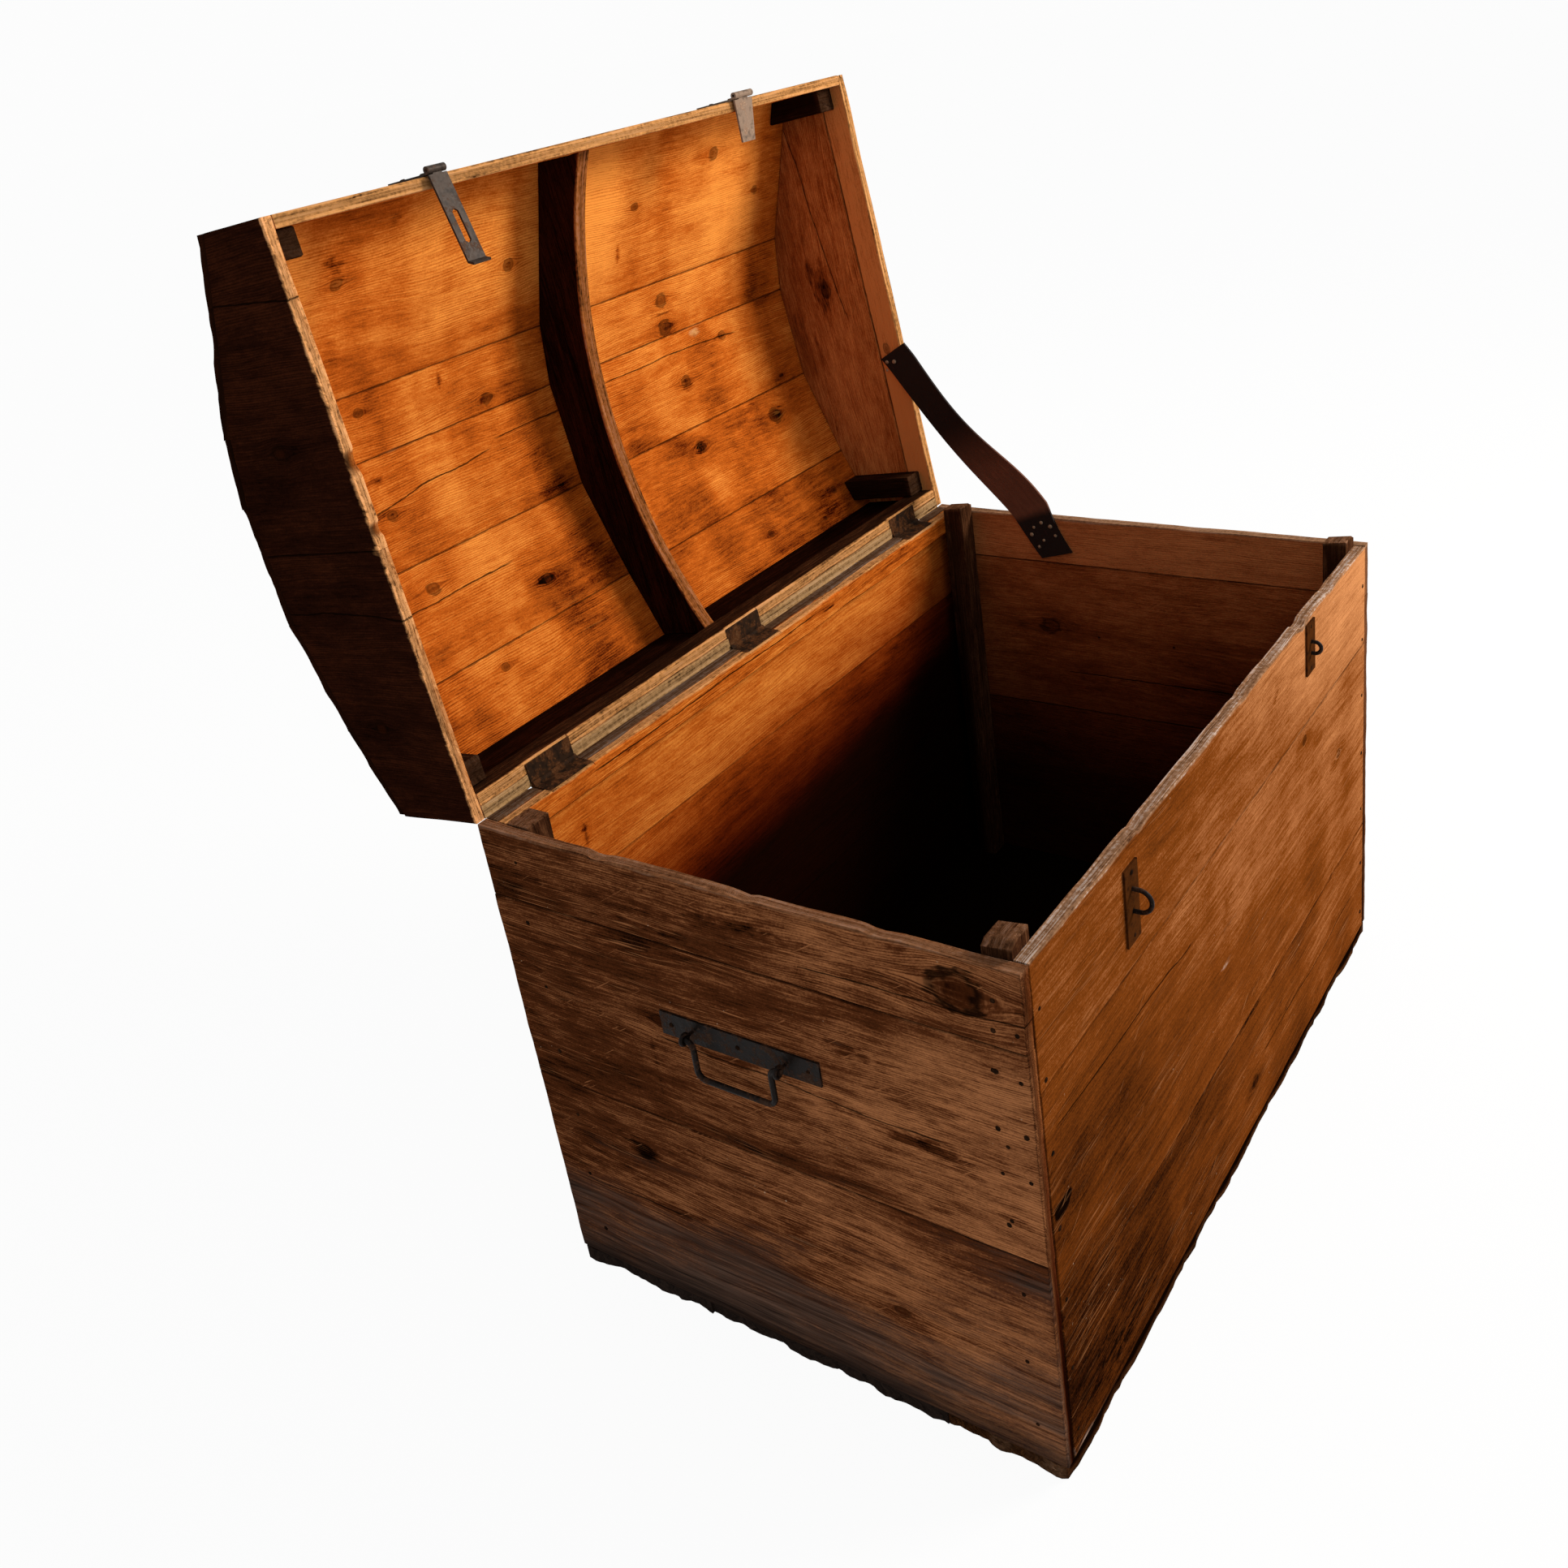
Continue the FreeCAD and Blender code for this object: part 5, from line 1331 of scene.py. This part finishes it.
floor_mesh.materials.append(floor_tree.material)
add("floor", floor_mesh)

world = bpy.data.worlds.new("studio")
bpy.context.scene.world = world
world.use_nodes = True
world_nodes, world_links = world.node_tree.nodes, world.node_tree.links
sky = world_nodes["Background"]
sky.inputs["Color"].default_value = (1.0, 1.0, 1.0, 1.0)
strength = world_nodes.new("ShaderNodeMath")
strength.operation = "MULTIPLY_ADD"
world_links.new(seen_rays(world_nodes, world_links), strength.inputs[0])
strength.inputs[1].default_value = SKY_SEEN - SKY_LIGHT
strength.inputs[2].default_value = SKY_LIGHT
world_links.new(strength.outputs[0], sky.inputs["Strength"])
print("floor of", 2 * FLOOR_HALF, "metres, sky of strength", SKY_LIGHT)


# %% Lamp and camera
def stand(thing, place, right, up, forward):
    """Puts an object at a place, looking forward."""
    turn = np.eye(4)
    turn[:3] = np.stack([right, up, -forward, place], axis=1)
    thing.matrix_world = Matrix(turn.tolist())


def lamp(name, place, target, size, power, tint):
    """A square soft light at a place, facing a target."""
    data = bpy.data.lights.new(name, "AREA")
    data.size = size
    data.energy = power
    data.color = tint
    aim = np.array(target) - np.array(place)
    forward = aim / np.linalg.norm(aim)
    right = np.cross(forward, (0, 0, 1))
    right = right / np.linalg.norm(right)
    stand(add(name, data), place, right, np.cross(right, forward), forward)


lamp("key", place=(2.6, -2.9, 3.0), target=(0.0, 0.2, 0.8), size=1.5, power=215.0,
     tint=(1.0, 0.94, 0.85))

# The camera stands off the chest's left front corner and looks down into it.
CAMERA_PLACE = np.array([-1.6799, -1.0151, 1.6694])
RIGHT_WAY = np.array([0.55237295, -0.82292731, -0.13294647])
DOWN_WAY = np.array([-0.39718235, -0.11960116, -0.90991304])
camera_data = bpy.data.cameras.new("camera")
camera_data.sensor_width = 36.0
camera_data.lens = 35.061
camera_data.shift_x = -0.0205
camera_data.shift_y = -0.1020
camera = add("camera", camera_data)
stand(camera, CAMERA_PLACE, RIGHT_WAY, -DOWN_WAY, np.cross(RIGHT_WAY, DOWN_WAY))
bpy.context.scene.camera = camera
bpy.context.scene.view_settings.view_transform = "Standard"
print("camera at", CAMERA_PLACE)

# %% [markdown]
# ## Nails and tacks
# Hand-made nails never match, so their heads are scattered by Geometry Nodes. Each point of a small
# mesh holds a place and a direction, and every head there gets its own turn and size.

# %% A node group that drives nails
def nail_group():
    """Geometry Nodes: a hammered head on every point, facing the way the point says."""
    group = bpy.data.node_groups.new("nail heads", "GeometryNodeTree")
    for name, kind, way in (("Points", "NodeSocketGeometry", "INPUT"),
                            ("Radius", "NodeSocketFloat", "INPUT"),
                            ("Flatness", "NodeSocketFloat", "INPUT"),
                            ("Material", "NodeSocketMaterial", "INPUT"),
                            ("Heads", "NodeSocketGeometry", "OUTPUT")):
        group.interface.new_socket(name, in_out=way, socket_type=kind)
    nodes, links = group.nodes, group.links
    start = nodes.new("NodeGroupInput")
    end = nodes.new("NodeGroupOutput")

    def make(kind, inputs, **settings):
        """Adds a node. Its inputs are values or other nodes' sockets."""
        made = nodes.new(kind)
        for key, value in settings.items():
            setattr(made, key, value)
        for key, value in inputs.items():
            if isinstance(value, bpy.types.NodeSocket):
                links.new(value, made.inputs[key])
            else:
                made.inputs[key].default_value = value
        return made

    ball = make("GeometryNodeMeshIcoSphere", {"Radius": 1.0, "Subdivisions": 3})
    dent = make("ShaderNodeTexNoise", {"Scale": 1.3, "Detail": 1.0})
    shift = make("ShaderNodeVectorMath", {0: dent.outputs["Color"], 1: (0.5, 0.5, 0.5)},
                 operation="SUBTRACT")
    smaller = make("ShaderNodeVectorMath", {0: shift.outputs[0], "Scale": 0.5}, operation="SCALE")
    dented = make("GeometryNodeSetPosition", {"Geometry": ball.outputs["Mesh"],
                                              "Offset": smaller.outputs[0]})
    flat = make("ShaderNodeCombineXYZ", {"X": 1.0, "Y": 1.0, "Z": start.outputs["Flatness"]})
    head = make("GeometryNodeTransform", {"Geometry": dented.outputs[0], "Scale": flat.outputs[0]})
    facing = make("GeometryNodeInputNamedAttribute", {"Name": "facing"}, data_type="FLOAT_VECTOR")
    turn = make("FunctionNodeRandomValue", {"Seed": 4, 3: 6.28}, data_type="FLOAT")
    spin = make("ShaderNodeCombineXYZ", {"Z": turn.outputs[1]})
    spin_turn = make("FunctionNodeEulerToRotation", {0: spin.outputs[0]})
    aligned = make("FunctionNodeAlignRotationToVector", {"Rotation": spin_turn.outputs[0],
                                                         "Vector": facing.outputs["Attribute"]},
                   axis="Z")
    grown = make("FunctionNodeRandomValue", {"Seed": 9, 2: 0.8, 3: 1.15}, data_type="FLOAT")
    scaled = make("ShaderNodeMath", {0: grown.outputs[1], 1: start.outputs["Radius"]},
                  operation="MULTIPLY")
    placed = make("GeometryNodeInstanceOnPoints", {"Points": start.outputs["Points"],
                                                   "Instance": head.outputs[0],
                                                   "Rotation": aligned.outputs[0],
                                                   "Scale": scaled.outputs[0]})
    real = make("GeometryNodeRealizeInstances", {"Geometry": placed.outputs[0]})
    dressed = make("GeometryNodeSetMaterial", {"Geometry": real.outputs[0],
                                               "Material": start.outputs["Material"]})
    smooth = make("GeometryNodeSetShadeSmooth", {"Geometry": dressed.outputs[0]})
    links.new(smooth.outputs[0], end.inputs[0])
    return group


NAIL_GROUP = nail_group()


# %% From places to nail heads
def drive(name, spots, radius, flatness, material, body, nodes):
    """One mesh of nail heads from (place, direction) pairs."""
    points = new_mesh(name + "_points", [place for place, way in spots], [])
    store(points, "facing", [way for place, way in spots])
    holder = add(name + "_points", points)
    change = holder.modifiers.new("heads", "NODES")
    change.node_group = NAIL_GROUP
    wanted = {"Radius": radius, "Flatness": flatness, "Material": material}
    for item in NAIL_GROUP.interface.items_tree:
        if item.name in wanted and item.in_out == "INPUT":
            change[item.identifier] = wanted[item.name]
    ready = holder.evaluated_get(bpy.context.evaluated_depsgraph_get())
    mesh = bpy.data.meshes.new_from_object(ready)
    bpy.data.objects.remove(holder)
    mesh.name = name
    thing = add(name, mesh)
    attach(thing, body)
    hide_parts(*nodes)
    print(name, len(spots), "heads,", len(mesh.polygons), "faces")
    return thing


# %% Nails of the chest
SMALL_HEAD = 0.0029
LARGE_HEAD = 0.0034
FLAT_HEAD = 0.35
DOMED_HEAD = 0.5
NAIL_SHARES = (0.06, 0.19, 0.33, 0.48, 0.63, 0.78, 0.92)
LEFT_END_DOTS = [(730, -81), (758, -79), (725, -134), (757, -140), (723, -212), (757, -212),
                 (723, -274), (757, -274), (724, -347)]
HANDLE_BACK = 376.0
HANDLE_HIGH = -222.0
HANDLE_NAILS = (-101.9, 0.0, 101.9)
HASP_X = (262.0, 905.0)
STAPLE_TOPS = (30.0, 10.0)
STAPLE_LONG = (103.0, 80.0)
PLATE = 3.0


def end_nails(x, way):
    """Nails of one end, in two rows down its corners and in the handle plate."""
    spots = []
    for level, share in enumerate(NAIL_SHARES):
        stagger = 2.0 if level % 2 else -3.0
        for back in (730.0 - stagger, 54.0 - stagger):
            spots.append(chest_spot(x + way * 0.3, back, -WALL_HIGH * share))
    for offset in HANDLE_NAILS:
        spots.append(chest_spot(x + way * (PLATE + 0.3), HANDLE_BACK - offset, HANDLE_HIGH))
    return [(spot, (way, 0, 0)) for spot in spots]


def front_nails():
    """Nails down both corners of the front and in the staple plates."""
    spots = [chest_spot(x, DEEP + 0.2, -WALL_HIGH * (share + 0.03))
             for share in NAIL_SHARES for x in (32.0, WIDE - 32.0)]
    spots += [chest_spot(x, DEEP + PLATE + 0.2, -top - long * share)
              for x, top, long in zip(HASP_X, STAPLE_TOPS, STAPLE_LONG) for share in (0.09, 0.91)]
    return [(spot, (0, -1, 0)) for spot in spots]


chest_nails = end_nails(0.0, -1) + end_nails(WIDE, 1) + front_nails()
chest_nails += [(chest_spot(-0.3, back, high), (-1, 0, 0)) for back, high in LEFT_END_DOTS]
drive("chest_nails", chest_nails, SMALL_HEAD, FLAT_HEAD, NAIL, "chest",
      ["carcass_nails", "plate_nails"])

# %% Nails of the lid
LID_OUT = (0.0, math.sin(OPEN), math.cos(OPEN))
LID_FRONT = (0.0, -math.cos(OPEN), math.sin(OPEN))
HASP_PLATE_HIGH = 68
lid_nails = []
for seam, following in zip(DOME_BACK, DOME_BACK[1:]):
    back = (seam + following) / 2
    for x in (8.0, 573.0, 1192.0):
        lost = float(weathered(np.array([x]), np.array([back]))[1][0])
        lid_nails.append((lid_spot(x, back, dome(back) + 0.2 - lost), LID_OUT))
for x in HASP_X:
    for share in (0.3, 0.85):
        lid_nails.append((lid_spot(x, DEEP + PLATE + 0.2, HASP_PLATE_HIGH * share), LID_FRONT))
drive("lid_nail_heads", lid_nails, LARGE_HEAD, FLAT_HEAD, NAIL, "lid", ["lid_nails"])

# %% Tacks of the stay
STAY_X = 1177.6
STAY_TOP = ((-81, 277), (-31, 307))
STAY_FOOT = ((208, -78), (267, -62))
LOW_TACKS = [(4, 68), (-11, 58), (21, 62), (-16, 44), (30, 46), (7, 35), (-3, 22)]
HIGH_TACKS = [(12, -5), (10, -20), (27, -4)]


def tack_spots(corner, steps):
    """Places of tacks, forward and up from a corner of the strap."""
    return [(chest_spot(STAY_X - 0.6, corner[0] + forward, corner[1] + up), (-1, 0, 0))
            for forward, up in steps]


drive("stay_tack_heads_low", tack_spots(STAY_FOOT[0], LOW_TACKS), LARGE_HEAD, DOMED_HEAD, TACK,
      "chest", ["stay_tacks_chest"])
drive("stay_tack_heads_high", tack_spots(STAY_TOP[0], HIGH_TACKS), LARGE_HEAD, DOMED_HEAD, TACK,
      "lid", ["stay_tacks_lid"])


# %% The strap itself
STAY_LONG = 0.466
STAY_WIDE = 0.06
STAY_THICK = 4.0
STAY_GRID = (60, 9)


def stay_side(s, first, last, bow, middle, spread):
    """One long side of the strap, straight but for a bow up and away from the hinge."""
    ends_still = np.clip(8 * s, 0, 1) * np.clip(5 * (1 - s), 0, 1)
    out = bow * np.exp(-((s - middle) / spread) ** 2) * ends_still
    return (first[0] + s * (last[0] - first[0]) + 0.78 * out,
            first[1] + s * (last[1] - first[1]) + 0.62 * out)


def stay():
    """A strip of leather from the lid's end to the chest's end, bowed in the middle."""
    s, t = np.meshgrid(*(np.linspace(0, 1, count) for count in STAY_GRID), indexing="ij")
    near_back, near_high = stay_side(s, STAY_TOP[0], STAY_FOOT[0], 9.0, 0.80, 0.25)
    far_back, far_high = stay_side(s, STAY_TOP[1], STAY_FOOT[1], 27.0, 0.70, 0.26)
    back = near_back + t * (far_back - near_back)
    high = near_high + t * (far_high - near_high)
    bow = np.sin(math.pi * np.clip((s - 0.06) / 0.74, 0, 1))
    curl = 1.5 * np.abs(2 * t - 1) ** 3 * bow
    x = STAY_X - 9 * bow * (0.6 + t) - curl
    places = [chest_spot(face_x, back, high).reshape(-1, 3) for face_x in (x, x + STAY_THICK)]
    number = np.arange(s.size).reshape(s.shape)
    rim = number[rim_places(*s.shape)]
    mesh = new_mesh("stay_strap", np.concatenate(places),
                    grid_faces(number) + ring_faces(rim, rim + s.size))
    grain = np.stack([s * STAY_LONG, (t - 0.5) * STAY_WIDE, 0 * s], axis=-1).reshape(-1, 3)
    store(mesh, "grain", np.concatenate([grain, grain]))
    finish_mesh(mesh, LEATHER, angle=40)
    thing = add("stay_strap", mesh)
    tuple(chest_spot(1180.0, 190.0, -10.0).tolist())
    tuple(chest_spot(1180.0, -20.0, 250.0).tolist())
    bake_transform(thing)
    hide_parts("lid_stay_strap")
    print("strap of", len(mesh.vertices), "points")


stay()
